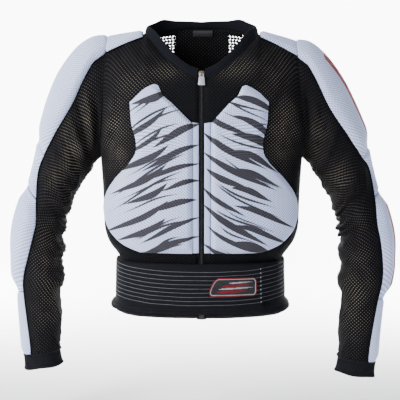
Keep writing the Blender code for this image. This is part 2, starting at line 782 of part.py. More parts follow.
def make_zip_strip(name, inner_x, outer_x, path, sink, thickness, finish):
    def place(i, j):
        point = path[j].copy()
        point.x = mix(inner_x, outer_x, i)
        point.y += sink
        return point

    bm = grid_mesh(1, len(path) - 1, place)
    face_outward(bm, Vector((0, 0, -BODY_LENGTH / 2)))
    add_wall(add_object(name, bm, finish), thickness, outward=False)


def make_zip():
    path = zip_line()
    for side in SIDES:
        near = side.sign * (CHAIN_HALF_WIDTH + SEAM_GAP)
        far = side.sign * (CHAIN_HALF_WIDTH + SEAM_GAP + TAPE_WIDTH)
        make_zip_strip(f"zip_tape_{side.name}", near, far, path, 0.0, TAPE_WALL, NYLON)
    make_zip_strip("zip_chain", -CHAIN_HALF_WIDTH, CHAIN_HALF_WIDTH, path, -CHAIN_PROUD, CHAIN_WALL, NYLON)


def box_mesh(bm, size, middle):
    """Adds a box to the mesh and returns its points."""
    place = Matrix.Translation(middle) @ Matrix.Diagonal((*size, 1.0))
    return bmesh.ops.create_cube(bm, size=1.0, matrix=place)["verts"]


def slope_between(low, high):
    """The direction from one point of the zip up to another, and how far it leans back."""
    upward = (high - low).normalized()
    return upward, atan2(-upward.y, upward.z)


def slider_place():
    """Where the slider sits on the chain at the collar, and the chain's slope there."""
    path = zip_line()
    upward, lean = slope_between(path[1], path[0])
    forward = Vector((0, -upward.z, upward.y))
    return path[1] + upward * SLIDER_RAISE + forward * (CHAIN_PROUD + RUN_GAP), lean


def make_guide(name, bm):
    mesh = bpy.data.meshes.new(name)
    bm.to_mesh(mesh)
    bm.free()
    guide = bpy.data.objects.new(name, mesh)
    GUIDES.objects.link(guide)
    guide.hide_render = True
    guide.display_type = "WIRE"
    return guide


def make_slider():
    """A plate on the chain with a bridge that the puller's bar passes under. Its front faces -Y."""
    bm = bmesh.new()
    plate = box_mesh(bm, (SLIDER_WIDTH, SLIDER_PLATE, SLIDER_LENGTH), (0, -SLIDER_PLATE / 2, 0))
    for vert in plate:
        if vert.co.z < 0:
            vert.co.x *= SLIDER_TAPER
    slider = add_object("zip_slider", bm, CAST_ZINC)
    arch = bmesh.new()
    sink = SLIDER_PLATE / 2
    rise = SLIDER_PLATE + BRIDGE_ROOM + BRIDGE_WALL
    box_mesh(arch, (BRIDGE_WIDTH, rise - sink, BRIDGE_LENGTH), (0, -(rise + sink) / 2, 0))
    arch_guide = make_guide("bridge_outside", arch)
    hollow = bmesh.new()
    room = (2 * BRIDGE_WIDTH, BRIDGE_ROOM, BRIDGE_LENGTH - 2 * BRIDGE_WALL)
    box_mesh(hollow, room, (0, -SLIDER_PLATE - BRIDGE_ROOM / 2, 0))
    hollow_guide = make_guide("bridge_room", hollow)
    for guide, operation in ((arch_guide, "UNION"), (hollow_guide, "DIFFERENCE")):
        step = slider.modifiers.new(guide.name, "BOOLEAN")
        step.operation = operation
        step.object = guide
    middle, lean = slider_place()
    for obj in (slider, arch_guide, hollow_guide):
        obj.location = middle
        obj.rotation_euler = (lean, 0, 0)


def make_puller():
    """A flat tab that hangs from a round bar under the slider's bridge. Its origin is on the bar."""
    bm = bmesh.new()
    half = PULLER_WIDTH / 2
    hole_half = BRIDGE_WIDTH / 2 + PULLER_ROOM
    leg_half = hole_half + PULLER_LEG
    hole_end = BRIDGE_LENGTH / 2 + PULLER_ROOM
    outline = [
        (-leg_half, 0.0),
        (-leg_half, -hole_end),
        (-half * PULLER_TAPER, -hole_end - PULLER_LEG),
        (-half, -PULLER_LENGTH),
    ]
    left = [bm.verts.new((x, -PULLER_WALL / 2, z)) for x, z in outline]
    right = [bm.verts.new((-x, -PULLER_WALL / 2, z)) for x, z in outline]
    hole = [(-hole_half, 0.0), (-hole_half, -hole_end)]
    inner_left = [bm.verts.new((x, -PULLER_WALL / 2, z)) for x, z in hole]
    inner_right = [bm.verts.new((-x, -PULLER_WALL / 2, z)) for x, z in hole]
    bm.faces.new((left[0], left[1], inner_left[1], inner_left[0]))
    bm.faces.new((right[1], right[0], inner_right[0], inner_right[1]))
    bm.faces.new((left[1], left[2], left[3], right[3], right[2], right[1], inner_right[1], inner_left[1]))
    bmesh.ops.recalc_face_normals(bm, faces=bm.faces)
    puller = add_object("zip_puller", bm, CAST_ZINC)
    add_wall(puller, PULLER_WALL, outward=False)
    bar = bmesh.new()
    across = Matrix.Rotation(pi / 2, 4, "Y")
    radius = PULLER_WALL / 2
    bmesh.ops.create_cone(
        bar, cap_ends=True, segments=10, radius1=radius, radius2=radius, depth=2 * leg_half, matrix=across
    )
    bar_guide = make_guide("puller_bar", bar)
    join = puller.modifiers.new("bar", "BOOLEAN")
    join.operation = "UNION"
    join.object = bar_guide
    middle, lean = slider_place()
    pivot = middle + Matrix.Rotation(lean, 3, "X") @ Vector((0, -SLIDER_PLATE - BRIDGE_ROOM / 2, 0))
    path = zip_line()
    hang = slope_between(path[3], path[1])[1]
    for obj in (puller, bar_guide):
        obj.location = pivot
        obj.rotation_euler = (hang, 0, 0)


def make_end_box():
    """The small metal box that the zip's two halves end in, at the hem."""
    bm = bmesh.new()
    place = belt_point(0.0, BELT_WALL, END_BOX_HEIGHT - BODY_LENGTH)
    size = (END_BOX_WIDTH, CHAIN_WALL, END_BOX_HEIGHT)
    box_mesh(bm, size, (0, place.y - CHAIN_PROUD + CHAIN_WALL / 2, place.z - END_BOX_HEIGHT / 2))
    add_object("zip_end_box", bm, CAST_ZINC)


clear_scene()
JACKET = make_collection("protective jacket")
GUIDES = make_collection("cutters")
for wearer_side in SIDES:
    make_front_panel(wearer_side)
    make_chest_pad(wearer_side)
    make_placket(wearer_side)
    make_shoulder_strip(wearer_side)
    make_sleeve(wearer_side)
    make_cuff(wearer_side)
    for arm_pad in ARM_PADS:
        make_arm_pad(wearer_side, arm_pad)
make_back_panel()
make_collar()
make_belt()
make_badge()
make_zip()
make_slider()
make_puller()
make_end_box()
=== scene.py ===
"""The finish of a protective chest jacket: knitted net, printed padding, ribbed belt, coil zip and metal slider.

Metres, +Z up, the front faces -Y. Right and left are the wearer's: right lies at -X.
"""

from collections import namedtuple
from math import asin, atan2, cos, exp, pi, radians, sin, sqrt

import bmesh
import bpy
import numpy as np
from mathutils import Matrix, Vector, noise


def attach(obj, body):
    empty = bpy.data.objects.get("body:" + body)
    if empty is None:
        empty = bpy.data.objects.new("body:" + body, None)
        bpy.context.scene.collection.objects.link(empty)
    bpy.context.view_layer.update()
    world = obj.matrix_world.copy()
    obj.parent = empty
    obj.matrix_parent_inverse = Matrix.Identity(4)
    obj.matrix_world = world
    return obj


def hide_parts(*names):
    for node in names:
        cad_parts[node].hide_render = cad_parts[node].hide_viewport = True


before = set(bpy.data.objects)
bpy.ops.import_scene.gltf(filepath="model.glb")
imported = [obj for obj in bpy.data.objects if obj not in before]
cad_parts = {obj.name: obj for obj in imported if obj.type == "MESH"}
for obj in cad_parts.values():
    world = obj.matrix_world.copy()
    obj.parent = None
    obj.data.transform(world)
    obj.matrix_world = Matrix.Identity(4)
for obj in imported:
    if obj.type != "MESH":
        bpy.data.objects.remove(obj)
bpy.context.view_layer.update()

# Sizes of the solids that the cloth follows
BODY_LENGTH = 0.536
ARMPIT_DROP = 0.228
YOKE_DROP = 0.120
CHEST_HALF_WIDTH = 0.200
CHEST_FRONT_DEPTH = 0.124
BACK_DEPTH = 0.112
BODY_ROUNDNESS = 2.5
SEAM_GAP = 0.0010
BELT_ROOM = 0.0020
SHOULDER_RISE = 0.013
ARMHOLE_TOP_HALF = 0.184
NECK_HALF_WIDTH = 0.112
NECK_FRONT_DEPTH = 0.100
NECK_BACK_DEPTH = 0.085
NECK_FRONT_DROP = 0.076
NECK_BACK_RISE = 0.027
NECKLINE_BEND = 1.6
COLLAR_HEIGHT = 0.024
COLLAR_WALL = 0.003
COLLAR_ROOM = 0.0018
SLEEVE_SPREAD = 0.200
SLEEVE_LENGTH = 0.623
UNDERARM_LENGTH = 0.384
SLEEVE_HALF_DEPTH = 0.070
UPPER_SHARE = 0.26
FOREARM_LEAN = 0.006
CUFF_LENGTH = 0.030
CUFF_OUTSET = 0.0035
PLACKET_WIDTH = 0.011
BELT_HEIGHT = 0.106
BELT_WALL = 0.0030
BELT_HEM = 0.026
HEM_FLARE = 0.008
BELT_TUCK = 0.010
BELT_WIDENING = 0.003
BELT_LAYER_GAP = 0.0020
FLAP_REACH = 0.1125
FLAP_EDGE_RAISE = 0.0110
CHAIN_HALF_WIDTH = 0.0021
TAPE_WIDTH = 0.0018
ZIP_TOP_INSET = 0.003
ZIP_STEP = 0.004
SLIDER_PLATE = 0.0024
SLIDER_RAISE = 0.0070
CHAIN_PROUD = 0.0008
RUN_GAP = 0.0004
END_BOX_HEIGHT = 0.0100
BELT_TOP = BELT_HEIGHT - BODY_LENGTH
FRONT_EDGE = CHAIN_HALF_WIDTH + TAPE_WIDTH + 2 * SEAM_GAP
BODY_MIDDLE = Vector((0, 0, -BODY_LENGTH / 2))

# Cloth and padding, in metres
NET_WALL = 0.0016
PAD_REST = 0.0012
CHEST_PADDING = 0.0088
SHOULDER_PADDING = 0.0080
ARM_PADDING = 0.0100
ELBOW_PADDING = 0.0140
FOREARM_PADDING = 0.0080
PAD_SHOULDER = 0.020
PIPING_RADIUS = 0.0011
SEAM_RADIUS = 0.0009

# The pitches of the net's holes and of the padding's dimples. The real ones are about 6.7 mm and 4 mm: they are drawn
# this much coarser so that they show in the render.
NET_PITCH_ACROSS, NET_PITCH_ALONG = 0.0074, 0.0070
MESH_PITCH = 0.0056
KNIT_PITCH = 0.0016

# Rows of stitches: how far apart they lie, how long each is and how thick its thread
Stitch = namedtuple("Stitch", "pitch length radius")
HEM_STITCH = Stitch(0.0034, 0.0024, 0.0003)
FLAP_END_STITCH = Stitch(0.0030, 0.0021, 0.0003)
NECK_STITCH = Stitch(0.0032, 0.0022, 0.0003)
PLACKET_STITCH = Stitch(0.0042, 0.0028, 0.00035)

# Each side's own fall, as in the solids
Side = namedtuple(
    "Side", "name sign shoulder_fall spread upper_spread extra_length under_extra wrist_inset turn pad_lean"
)
SIDES = [
    Side("right", -1, 0.17, 0.98, 0.92, 0.000, 0.000, 0.000, 0, 0.000),
    Side("left", 1, 0.29, 1.03, 0.80, 0.007, 0.008, 0.014, 1, 0.065),
]

# The body from the belt up to the yoke, as shares: see body_height and body_size
BodyRow = namedtuple("BodyRow", "height half_width front back pad_outer")
BODY = [
    BodyRow(0.000, 0.800, 0.855, 0.860, 0.000),
    BodyRow(0.055, 0.835, 0.880, 0.870, 0.000),
    BodyRow(0.108, 0.875, 0.915, 0.885, 0.575),
    BodyRow(0.170, 0.918, 0.945, 0.900, 0.740),
    BodyRow(0.245, 0.948, 0.965, 0.915, 0.840),
    BodyRow(0.330, 0.965, 0.985, 0.930, 0.905),
    BodyRow(0.450, 0.970, 1.000, 0.945, 0.940),
    BodyRow(0.620, 0.975, 1.015, 0.965, 0.932),
    BodyRow(0.795, 0.985, 1.015, 0.990, 0.835),
    BodyRow(1.000, 1.000, 0.995, 1.015, 0.660),
    BodyRow(1.260, 1.030, 0.980, 1.025, 0.620),
    BodyRow(1.630, 1.060, 0.955, 1.030, 0.665),
    BodyRow(2.000, 1.075, 0.925, 1.020, 0.680),
]

# The top of a chest pad above the yoke line: rise is a share of the way up to the neckline
PadTop = namedtuple("PadTop", "rise inner outer")
PAD_TOP = [
    PadTop(0.00, 0.290, 0.680),
    PadTop(0.15, 0.370, 0.575),
    PadTop(0.32, 0.412, 0.450),
]
PAD_FIRST_ROW = 2

# The sleeve from the armhole down, as shares of the spread, the two lengths and the half depth. Strip is half the
# angle that the white padding spans, turn how far it turns back on a turned elbow.
SleeveRow = namedtuple("SleeveRow", "out down in_out in_down depth back gather strip turn armhole")
SLEEVE = [
    SleeveRow(0.000, 0.000, 0.000, 0.000, 1.00, 0.00, 0.00, 36, 0, 1.0),
    SleeveRow(0.140, 0.003, 0.030, 0.021, 1.00, 0.00, 0.00, 51, 0, 0.7),
    SleeveRow(0.280, 0.030, 0.065, 0.042, 1.00, 0.00, 0.02, 64, 0, 0.4),
    SleeveRow(0.400, 0.072, 0.105, 0.073, 0.99, 0.00, -0.03, 72, 0, 0.2),
    SleeveRow(0.505, 0.127, 0.155, 0.115, 0.98, 0.00, 0.03, 73, 0, 0.0),
    SleeveRow(0.580, 0.191, 0.220, 0.164, 0.96, 0.02, -0.02, 69, 0, 0.0),
    SleeveRow(0.635, 0.255, 0.275, 0.219, 0.93, 0.04, 0.02, 63, 0, 0.0),
    SleeveRow(0.680, 0.319, 0.320, 0.276, 0.90, 0.06, -0.03, 53, 4, 0.0),
    SleeveRow(0.730, 0.391, 0.355, 0.323, 0.87, 0.08, 0.04, 44, 20, 0.0),
    SleeveRow(0.795, 0.463, 0.375, 0.375, 0.86, 0.10, -0.07, 61, 24, 0.0),
    SleeveRow(0.870, 0.527, 0.390, 0.427, 0.85, 0.10, 0.06, 78, 22, 0.0),
    SleeveRow(0.930, 0.600, 0.395, 0.479, 0.84, 0.08, -0.07, 78, 20, 0.0),
    SleeveRow(0.940, 0.680, 0.390, 0.552, 0.80, 0.04, 0.06, 66, 16, 0.0),
    SleeveRow(0.930, 0.744, 0.390, 0.630, 0.75, -0.02, -0.05, 51, 8, 0.0),
    SleeveRow(0.900, 0.795, 0.410, 0.708, 0.70, -0.07, 0.04, 41, 0, 0.0),
    SleeveRow(0.885, 0.877, 0.420, 0.833, 0.61, -0.15, -0.03, 49, 0, 0.0),
    SleeveRow(0.865, 0.960, 0.420, 0.958, 0.51, -0.22, 0.02, 55, 0, 0.0),
    SleeveRow(0.850, 1.000, 0.415, 1.000, 0.47, -0.25, 0.00, 52, 0, 0.0),
]

# How a padded piece rounds off: over what distance at its first and last column, its start and its end, and how much
# of its thickness is left at the start and the end
Rounding = namedtuple("Rounding", "first last start end start_share end_share")

# The padding on a sleeve: the rows where each piece starts and ends, its thickness and fill, how it rounds off, and
# from what share of its length to what share the red stripe runs. Past the end there is no stripe.
NO_STRIPE = 2.0
ArmPad = namedtuple("ArmPad", "name node first last padding fill rounding stripe_from stripe_to")
ARM_PADS = [
    ArmPad(
        "upper_arm_padding", "upper_arm_pad", 0.04, 6.97, ARM_PADDING, 0.7,
        Rounding(0.018, 0.018, 0.006, 0.030, 0.50, 0.35), 0.32, 0.95,
    ),
    ArmPad(
        "elbow_link_padding", "elbow_link", 7.03, 8.97, FOREARM_PADDING, 0.5,
        Rounding(0.014, 0.014, 0.008, 0.008, 0.45, 0.45), NO_STRIPE, NO_STRIPE,
    ),
    ArmPad(
        "elbow_padding", "elbow_pad", 9.03, 13.97, ELBOW_PADDING, 0.8,
        Rounding(0.018, 0.018, 0.034, 0.034, 0.30, 0.30), 0.15, 0.80,
    ),
    ArmPad(
        "forearm_padding", "forearm_pad", 14.03, 16.95, FOREARM_PADDING, 0.6,
        Rounding(0.014, 0.014, 0.008, 0.014, 0.45, 0.35), NO_STRIPE, NO_STRIPE,
    ),
]

# The collar round the neck, from the front middle to the back: height and inward lean as shares of its height
CollarRow = namedtuple("CollarRow", "angle height lean")
COLLAR = [
    CollarRow(0, 0.70, 0.24),
    CollarRow(25, 0.70, 0.24),
    CollarRow(45, 0.80, 0.34),
    CollarRow(65, 0.66, 0.46),
    CollarRow(90, 0.55, 0.15),
    CollarRow(105, 0.68, 0.06),
    CollarRow(120, 0.82, 0.08),
    CollarRow(135, 0.98, 0.08),
    CollarRow(150, 0.74, 0.12),
    CollarRow(180, 0.52, 0.15),
]

# The belt's hem from its lower edge up
HemRow = namedtuple("HemRow", "height flare")
HEM = [
    HemRow(0.00, -0.6),
    HemRow(0.28, 0.8),
    HemRow(0.62, 1.0),
    HemRow(1.00, 0.0),
]

# Soft folds of the front, as lines of the front view: where each starts and ends, its half width and its height.
# A negative height is a crease.
Fold = namedtuple("Fold", "x0 z0 x1 z1 width height")
FOLDS = [
    Fold(-0.150, 0.000, -0.095, -0.060, 0.0060, 0.0022),
    Fold(-0.165, -0.015, -0.110, -0.085, 0.0060, -0.0018),
    Fold(-0.120, -0.010, -0.070, -0.055, 0.0045, -0.0018),
    Fold(-0.196, -0.215, -0.165, -0.090, 0.0070, 0.0028),
    Fold(-0.190, -0.225, -0.150, -0.130, 0.0060, -0.0022),
    Fold(-0.205, -0.205, -0.205, -0.110, 0.0050, -0.0035),
    Fold(-0.215, -0.215, -0.225, -0.085, 0.0065, 0.0036),
    Fold(-0.222, -0.225, -0.243, -0.110, 0.0050, -0.0032),
    Fold(-0.230, -0.235, -0.262, -0.135, 0.0065, 0.0034),
    Fold(-0.238, -0.255, -0.278, -0.180, 0.0050, -0.0026),
    Fold(-0.246, -0.272, -0.290, -0.215, 0.0060, 0.0028),
    Fold(-0.258, -0.300, -0.305, -0.262, 0.0055, -0.0026),
    Fold(-0.262, -0.330, -0.310, -0.300, 0.0065, 0.0030),
    Fold(-0.265, -0.352, -0.318, -0.335, 0.0050, -0.0024),
    Fold(-0.268, -0.400, -0.312, -0.378, 0.0060, 0.0024),
    Fold(-0.270, -0.470, -0.318, -0.440, 0.0060, -0.0022),
    Fold(-0.278, -0.560, -0.320, -0.520, 0.0070, 0.0018),
    Fold(0.160, -0.010, 0.105, -0.060, 0.0060, 0.0020),
    Fold(0.172, -0.060, 0.150, -0.130, 0.0055, -0.0018),
    Fold(0.196, -0.220, 0.172, -0.110, 0.0070, 0.0026),
    Fold(0.191, -0.228, 0.160, -0.150, 0.0055, -0.0022),
    Fold(0.206, -0.212, 0.202, -0.095, 0.0050, -0.0040),
    Fold(0.214, -0.214, 0.222, -0.120, 0.0065, 0.0036),
    Fold(0.222, -0.222, 0.246, -0.150, 0.0050, -0.0030),
    Fold(0.232, -0.240, 0.262, -0.175, 0.0065, 0.0032),
    Fold(0.244, -0.262, 0.285, -0.215, 0.0055, -0.0024),
    Fold(0.258, -0.292, 0.305, -0.262, 0.0065, 0.0028),
    Fold(0.262, -0.322, 0.318, -0.300, 0.0055, -0.0036),
    Fold(0.266, -0.345, 0.325, -0.330, 0.0070, 0.0040),
    Fold(0.268, -0.372, 0.322, -0.362, 0.0050, -0.0034),
    Fold(0.270, -0.398, 0.316, -0.402, 0.0060, 0.0026),
    Fold(0.272, -0.470, 0.318, -0.448, 0.0065, -0.0020),
    Fold(0.276, -0.570, 0.318, -0.535, 0.0070, 0.0018),
    Fold(-0.150, -0.405, -0.100, -0.418, 0.0040, 0.0014),
    Fold(0.150, -0.405, 0.105, -0.418, 0.0040, 0.0014),
]
FOLD_STRENGTH = 1.5

# Where the net is stretched open and its holes show, as ovals of the front view
Spot = namedtuple("Spot", "x z half_width half_height strength")
SPOTS = [
    Spot(-0.162, -0.180, 0.028, 0.064, 1.00),
    Spot(0.154, -0.180, 0.028, 0.066, 1.00),
    Spot(-0.135, -0.085, 0.044, 0.044, 0.45),
    Spot(0.142, -0.075, 0.038, 0.054, 0.42),
    Spot(-0.068, -0.062, 0.032, 0.016, 0.85),
    Spot(0.072, -0.056, 0.038, 0.020, 0.85),
    Spot(-0.222, -0.150, 0.018, 0.070, 0.95),
    Spot(-0.250, -0.215, 0.022, 0.060, 1.00),
    Spot(-0.279, -0.285, 0.024, 0.050, 0.70),
    Spot(-0.300, -0.470, 0.034, 0.120, 0.62),
    Spot(0.226, -0.200, 0.020, 0.055, 0.65),
    Spot(0.266, -0.280, 0.026, 0.045, 0.70),
    Spot(0.300, -0.350, 0.028, 0.035, 0.35),
    Spot(0.305, -0.490, 0.034, 0.110, 0.62),
]

# The dark strokes printed on the chest, drawn for this jacket: rows of blades that fall away from the zip. Each row:
# where its blades start from the zip, how far apart they lie, their length, slope, bow and half width.
StrokeRow = namedtuple("StrokeRow", "start lowest pitch count length slope bow width")
STROKE_ROWS = {
    "right": [
        StrokeRow(0.001, -0.412, 0.0360, 8, 0.116, -0.38, 0.005, 0.0054),
        StrokeRow(0.060, -0.410, 0.0350, 10, 0.120, -0.50, -0.006, 0.0066),
        StrokeRow(0.024, -0.384, 0.0420, 8, 0.140, -0.43, 0.006, 0.0019),
        StrokeRow(0.032, -0.376, 0.0420, 8, 0.130, -0.42, 0.006, 0.0016),
    ],
    "left": [
        StrokeRow(0.001, -0.388, 0.0360, 8, 0.122, -0.54, -0.005, 0.0056),
        StrokeRow(0.054, -0.418, 0.0340, 10, 0.116, -0.42, 0.006, 0.0062),
        StrokeRow(0.016, -0.400, 0.0430, 8, 0.145, -0.48, -0.006, 0.0019),
        StrokeRow(0.026, -0.392, 0.0430, 8, 0.132, -0.47, -0.006, 0.0016),
    ],
}


def mix(low, high, share):
    return low + (high - low) * share


def clamp(value):
    return min(max(value, 0.0), 1.0)


def ease(value):
    """From 0 to 1 with soft ends."""
    value = clamp(value)
    return value * value * (3 - 2 * value)


def smooth_value(keys, values, key):
    """The value at key, on a smooth curve through the given ones."""
    last = len(keys) - 1
    i = 0
    while i < last - 1 and key > keys[i + 1]:
        i += 1
    span = keys[i + 1] - keys[i]
    share = clamp((key - keys[i]) / span)

    def slope(k):
        low, high = max(k - 1, 0), min(k + 1, last)
        return (values[high] - values[low]) / (keys[high] - keys[low])

    square, cube = share**2, share**3
    start = (2 * cube - 3 * square + 1) * values[i] + (cube - 2 * square + share) * span * slope(i)
    end = (3 * square - 2 * cube) * values[i + 1] + (cube - square) * span * slope(i + 1)
    return start + end


def column_of(rows, name):
    return [getattr(row, name) for row in rows]


BODY_CURVES = {name: column_of(BODY, name) for name in BodyRow._fields}
SLEEVE_CURVES = {name: column_of(SLEEVE, name) for name in SleeveRow._fields}
COLLAR_CURVES = {name: column_of(COLLAR, name) for name in CollarRow._fields}
HEM_CURVES = {name: column_of(HEM, name) for name in HemRow._fields}


def body_height(share):
    """The height at a share: up to 1 from the belt to the armpit, from 1 to 2 on to the yoke."""
    if share <= 1.0:
        return mix(BELT_TOP, -ARMPIT_DROP, share)
    return mix(-ARMPIT_DROP, -YOKE_DROP, share - 1.0)


def height_share(z):
    if z <= -ARMPIT_DROP:
        return (z - BELT_TOP) / (-ARMPIT_DROP - BELT_TOP)
    return 1.0 + (z + ARMPIT_DROP) / (ARMPIT_DROP - YOKE_DROP)


def body_size(z):
    """Half width, front depth and back depth of the body's section at height z."""
    share = height_share(min(z, -YOKE_DROP))
    keys = BODY_CURVES["height"]
    half_width = CHEST_HALF_WIDTH * smooth_value(keys, BODY_CURVES["half_width"], share)
    front = CHEST_FRONT_DEPTH * smooth_value(keys, BODY_CURVES["front"], share)
    back = BACK_DEPTH * smooth_value(keys, BODY_CURVES["back"], share)
    return half_width, front, back


def armhole_half(z):
    share = min(max((z + ARMPIT_DROP) / ARMPIT_DROP, 0.0), 1.2)
    return mix(CHEST_HALF_WIDTH, ARMHOLE_TOP_HALF, share)


def shoulder_line(x, side):
    return SHOULDER_RISE - side.shoulder_fall * (abs(x) - NECK_HALF_WIDTH)


def top_edge(x, side, front):
    """Depth and height of the body's top edge at x: the neckline near the neck, the shoulder line beyond it."""
    share = min(abs(x) / NECK_HALF_WIDTH, 1.0)
    if share == 1.0:
        return 0.0, shoulder_line(x, side)
    if front:
        depth = NECK_FRONT_DEPTH * sqrt(1.0 - share**2)
        return depth, mix(-NECK_FRONT_DROP, SHOULDER_RISE, share**NECKLINE_BEND)
    depth = NECK_BACK_DEPTH * (1.0 - share**2.4) ** (1 / 2.4)
    return depth, mix(NECK_BACK_RISE, SHOULDER_RISE, share**2)


def section_depth(x, size, front):
    """The depth of a section at x, where size is what body_size gives."""
    share = min(abs(x) / size[0], 1.0)
    depth = size[1] if front else size[2]
    return depth * (1.0 - share**BODY_ROUNDNESS) ** (1 / BODY_ROUNDNESS)


YOKE_SIZE = body_size(-YOKE_DROP)


def yoke_fullness(x, rise):
    round_share = min(abs(x) / NECK_HALF_WIDTH, 1.0) ** 2
    return mix(1.0 - rise**1.7, sqrt(max(1.0 - rise**2, 0.0)), round_share)


def body_point(x, level, side, front, size=None):
    """A point of the body's surface. Level is a height up to the yoke, and above it the yoke's rise plus 1."""
    face = -1.0 if front else 1.0
    if level <= -YOKE_DROP:
        depth, z = section_depth(x, size or body_size(level), front), level
    else:
        rise = level - 1.0
        top_depth, top_z = top_edge(x, side, front)
        depth = mix(top_depth, section_depth(x, YOKE_SIZE, front), yoke_fullness(x, rise))
        z = mix(-YOKE_DROP, top_z, rise)
    return Vector((x, face * depth, z))


def surface_depth(x, z, side, front):
    if z <= -YOKE_DROP:
        return section_depth(x, body_size(z), front)
    top_depth, top_z = top_edge(x, side, front)
    rise = min((z + YOKE_DROP) / (top_z + YOKE_DROP), 1.0)
    return mix(top_depth, section_depth(x, YOKE_SIZE, front), yoke_fullness(x, rise))


def edge_half(level, side):
    """Where a body panel ends at this level: the side seam, or the armhole above the armpit."""
    if level <= -ARMPIT_DROP:
        return body_size(level)[0]
    if level <= -YOKE_DROP:
        return armhole_half(level) - SEAM_GAP / 2
    half = ARMHOLE_TOP_HALF
    for _ in range(4):
        half = armhole_half(mix(-YOKE_DROP, shoulder_line(half, side), level - 1.0)) - SEAM_GAP / 2
    return half


def column_x(size, start, end, share):
    """The x of a column between two x values on one row, at equal steps round the section."""

    def girth_angle(x):
        return asin(min(abs(x) / size[0], 1.0) ** (BODY_ROUNDNESS / 2))

    angle = mix(girth_angle(start), girth_angle(end), share)
    return size[0] * sin(angle) ** (2 / BODY_ROUNDNESS)


def sleeve_row(place):
    """The sleeve's row at a place between the table's rows."""
    keys = list(range(len(SLEEVE)))
    return SleeveRow(*[smooth_value(keys, SLEEVE_CURVES[name], place) for name in SleeveRow._fields])


def sleeve_edges(row, side):
    """The outer and the under edge of a sleeve row, as points of the front view."""
    top_half = edge_half(2.0, side) + SEAM_GAP
    top = Vector((top_half, 0, shoulder_line(top_half, side)))
    pit = Vector((CHEST_HALF_WIDTH + SEAM_GAP, 0, -ARMPIT_DROP))
    down = max(row.down, 0.0)
    inset = side.wrist_inset * down**3
    drop = side.extra_length * down
    under_drop = drop + side.under_extra * row.in_down**3
    spread = SLEEVE_SPREAD * mix(side.upper_spread, side.spread, min(down / UPPER_SHARE, 1.0))
    lean = side.turn * FOREARM_LEAN * sin(pi * clamp((down - 0.70) / 0.34))
    outer = top + Vector((spread * row.out - inset - lean, 0, -SLEEVE_LENGTH * row.down - drop))
    spread = SLEEVE_SPREAD * side.spread
    under = pit + Vector((spread * row.in_out - inset, 0, -UNDERARM_LENGTH * row.in_down - under_drop))
    return outer, under


def armhole_depth(share, side, front):
    top_half = edge_half(2.0, side) + SEAM_GAP
    z = mix(shoulder_line(top_half, side), -ARMPIT_DROP, share)
    return surface_depth(armhole_half(z) + SEAM_GAP / 2, z, side, front)


def sleeve_point(row, edges, angle, side):
    """A point of the sleeve: angle 0 is the outer edge, 90 degrees the front, 180 degrees the under edge."""
    outer, under = edges
    front = sin(angle) > 0
    face = -1.0 if front else 1.0
    depth = SLEEVE_HALF_DEPTH * row.depth * abs(sin(angle))
    if row.armhole > 0.001:
        depth = mix(depth, armhole_depth((1 - cos(angle)) / 2, side, front), row.armhole)
    point = (outer + under) / 2 + (outer - under) / 2 * cos(angle)
    at_seam = ease((row.armhole - 0.7) / 0.3)
    point.x = mix(point.x, armhole_half(point.z) + SEAM_GAP / 2, at_seam)
    point.y = face * depth + SLEEVE_HALF_DEPTH * row.back
    inward = (outer - under).normalized() * max(-cos(angle), 0.0) ** 2
    point += inward * (SLEEVE_HALF_DEPTH * row.gather)
    point.x *= side.sign
    return point


def collar_point(angle, share, side):
    """A point of the collar's inner line at this angle from the front middle, from its foot to its top."""
    degrees = angle * 180 / pi
    height = COLLAR_HEIGHT * smooth_value(COLLAR_CURVES["angle"], COLLAR_CURVES["height"], degrees)
    lean = COLLAR_HEIGHT * smooth_value(COLLAR_CURVES["angle"], COLLAR_CURVES["lean"], degrees)
    x = NECK_HALF_WIDTH * sin(angle)
    front = angle < pi / 2
    depth, z = top_edge(min(x, NECK_HALF_WIDTH * 0.9999), side, front)
    base = Vector((x, -depth if front else depth, z + COLLAR_ROOM))
    outward = Vector((sin(angle), -cos(angle), 0))
    return base + Vector((0, 0, height * share)) - outward * (lean * share)


def belt_size(z):
    """Half width, front depth and back depth of the belt's inner face at height z."""
    row = BODY[0]
    hem_share = min((z + BODY_LENGTH) / BELT_HEM, 1.0)
    widen = BELT_ROOM + BELT_WIDENING * (BELT_TOP - z) / BELT_HEIGHT
    widen += HEM_FLARE * smooth_value(HEM_CURVES["height"], HEM_CURVES["flare"], hem_share)
    half_width = CHEST_HALF_WIDTH * row.half_width + widen
    return half_width, CHEST_FRONT_DEPTH * row.front + widen, BACK_DEPTH * row.back + widen


def belt_point(angle, out, z):
    """A point round the belt at this angle from the front middle, out from the belt's inner face."""
    half_width, front_depth, back_depth = belt_size(z)
    depth = front_depth if cos(angle) > 0 else back_depth
    shape = 2 / BODY_ROUNDNESS
    x = (half_width + out) * abs(sin(angle)) ** shape * (1 if sin(angle) > 0 else -1)
    y = -(depth + out) * abs(cos(angle)) ** shape * (1 if cos(angle) > 0 else -1)
    return Vector((x, y, z))


def colour(code):
    """An sRGB hex colour as linear values."""
    parts = [int(code[i : i + 2], 16) / 255 for i in (1, 3, 5)]
    return (*[v / 12.92 if v <= 0.04045 else ((v + 0.055) / 1.055) ** 2.4 for v in parts], 1.0)


def add_node(tree, kind, settings, inputs):
    """Adds a node with its settings. Each input is a value, or another node's output to link."""
    node = tree.nodes.new(kind)
    for name, value in settings.items():
        setattr(node, name, value)
    for name, value in inputs.items():
        if isinstance(value, bpy.types.NodeSocket):
            tree.links.new(value, node.inputs[name])
        else:
            node.inputs[name].default_value = value
    return node


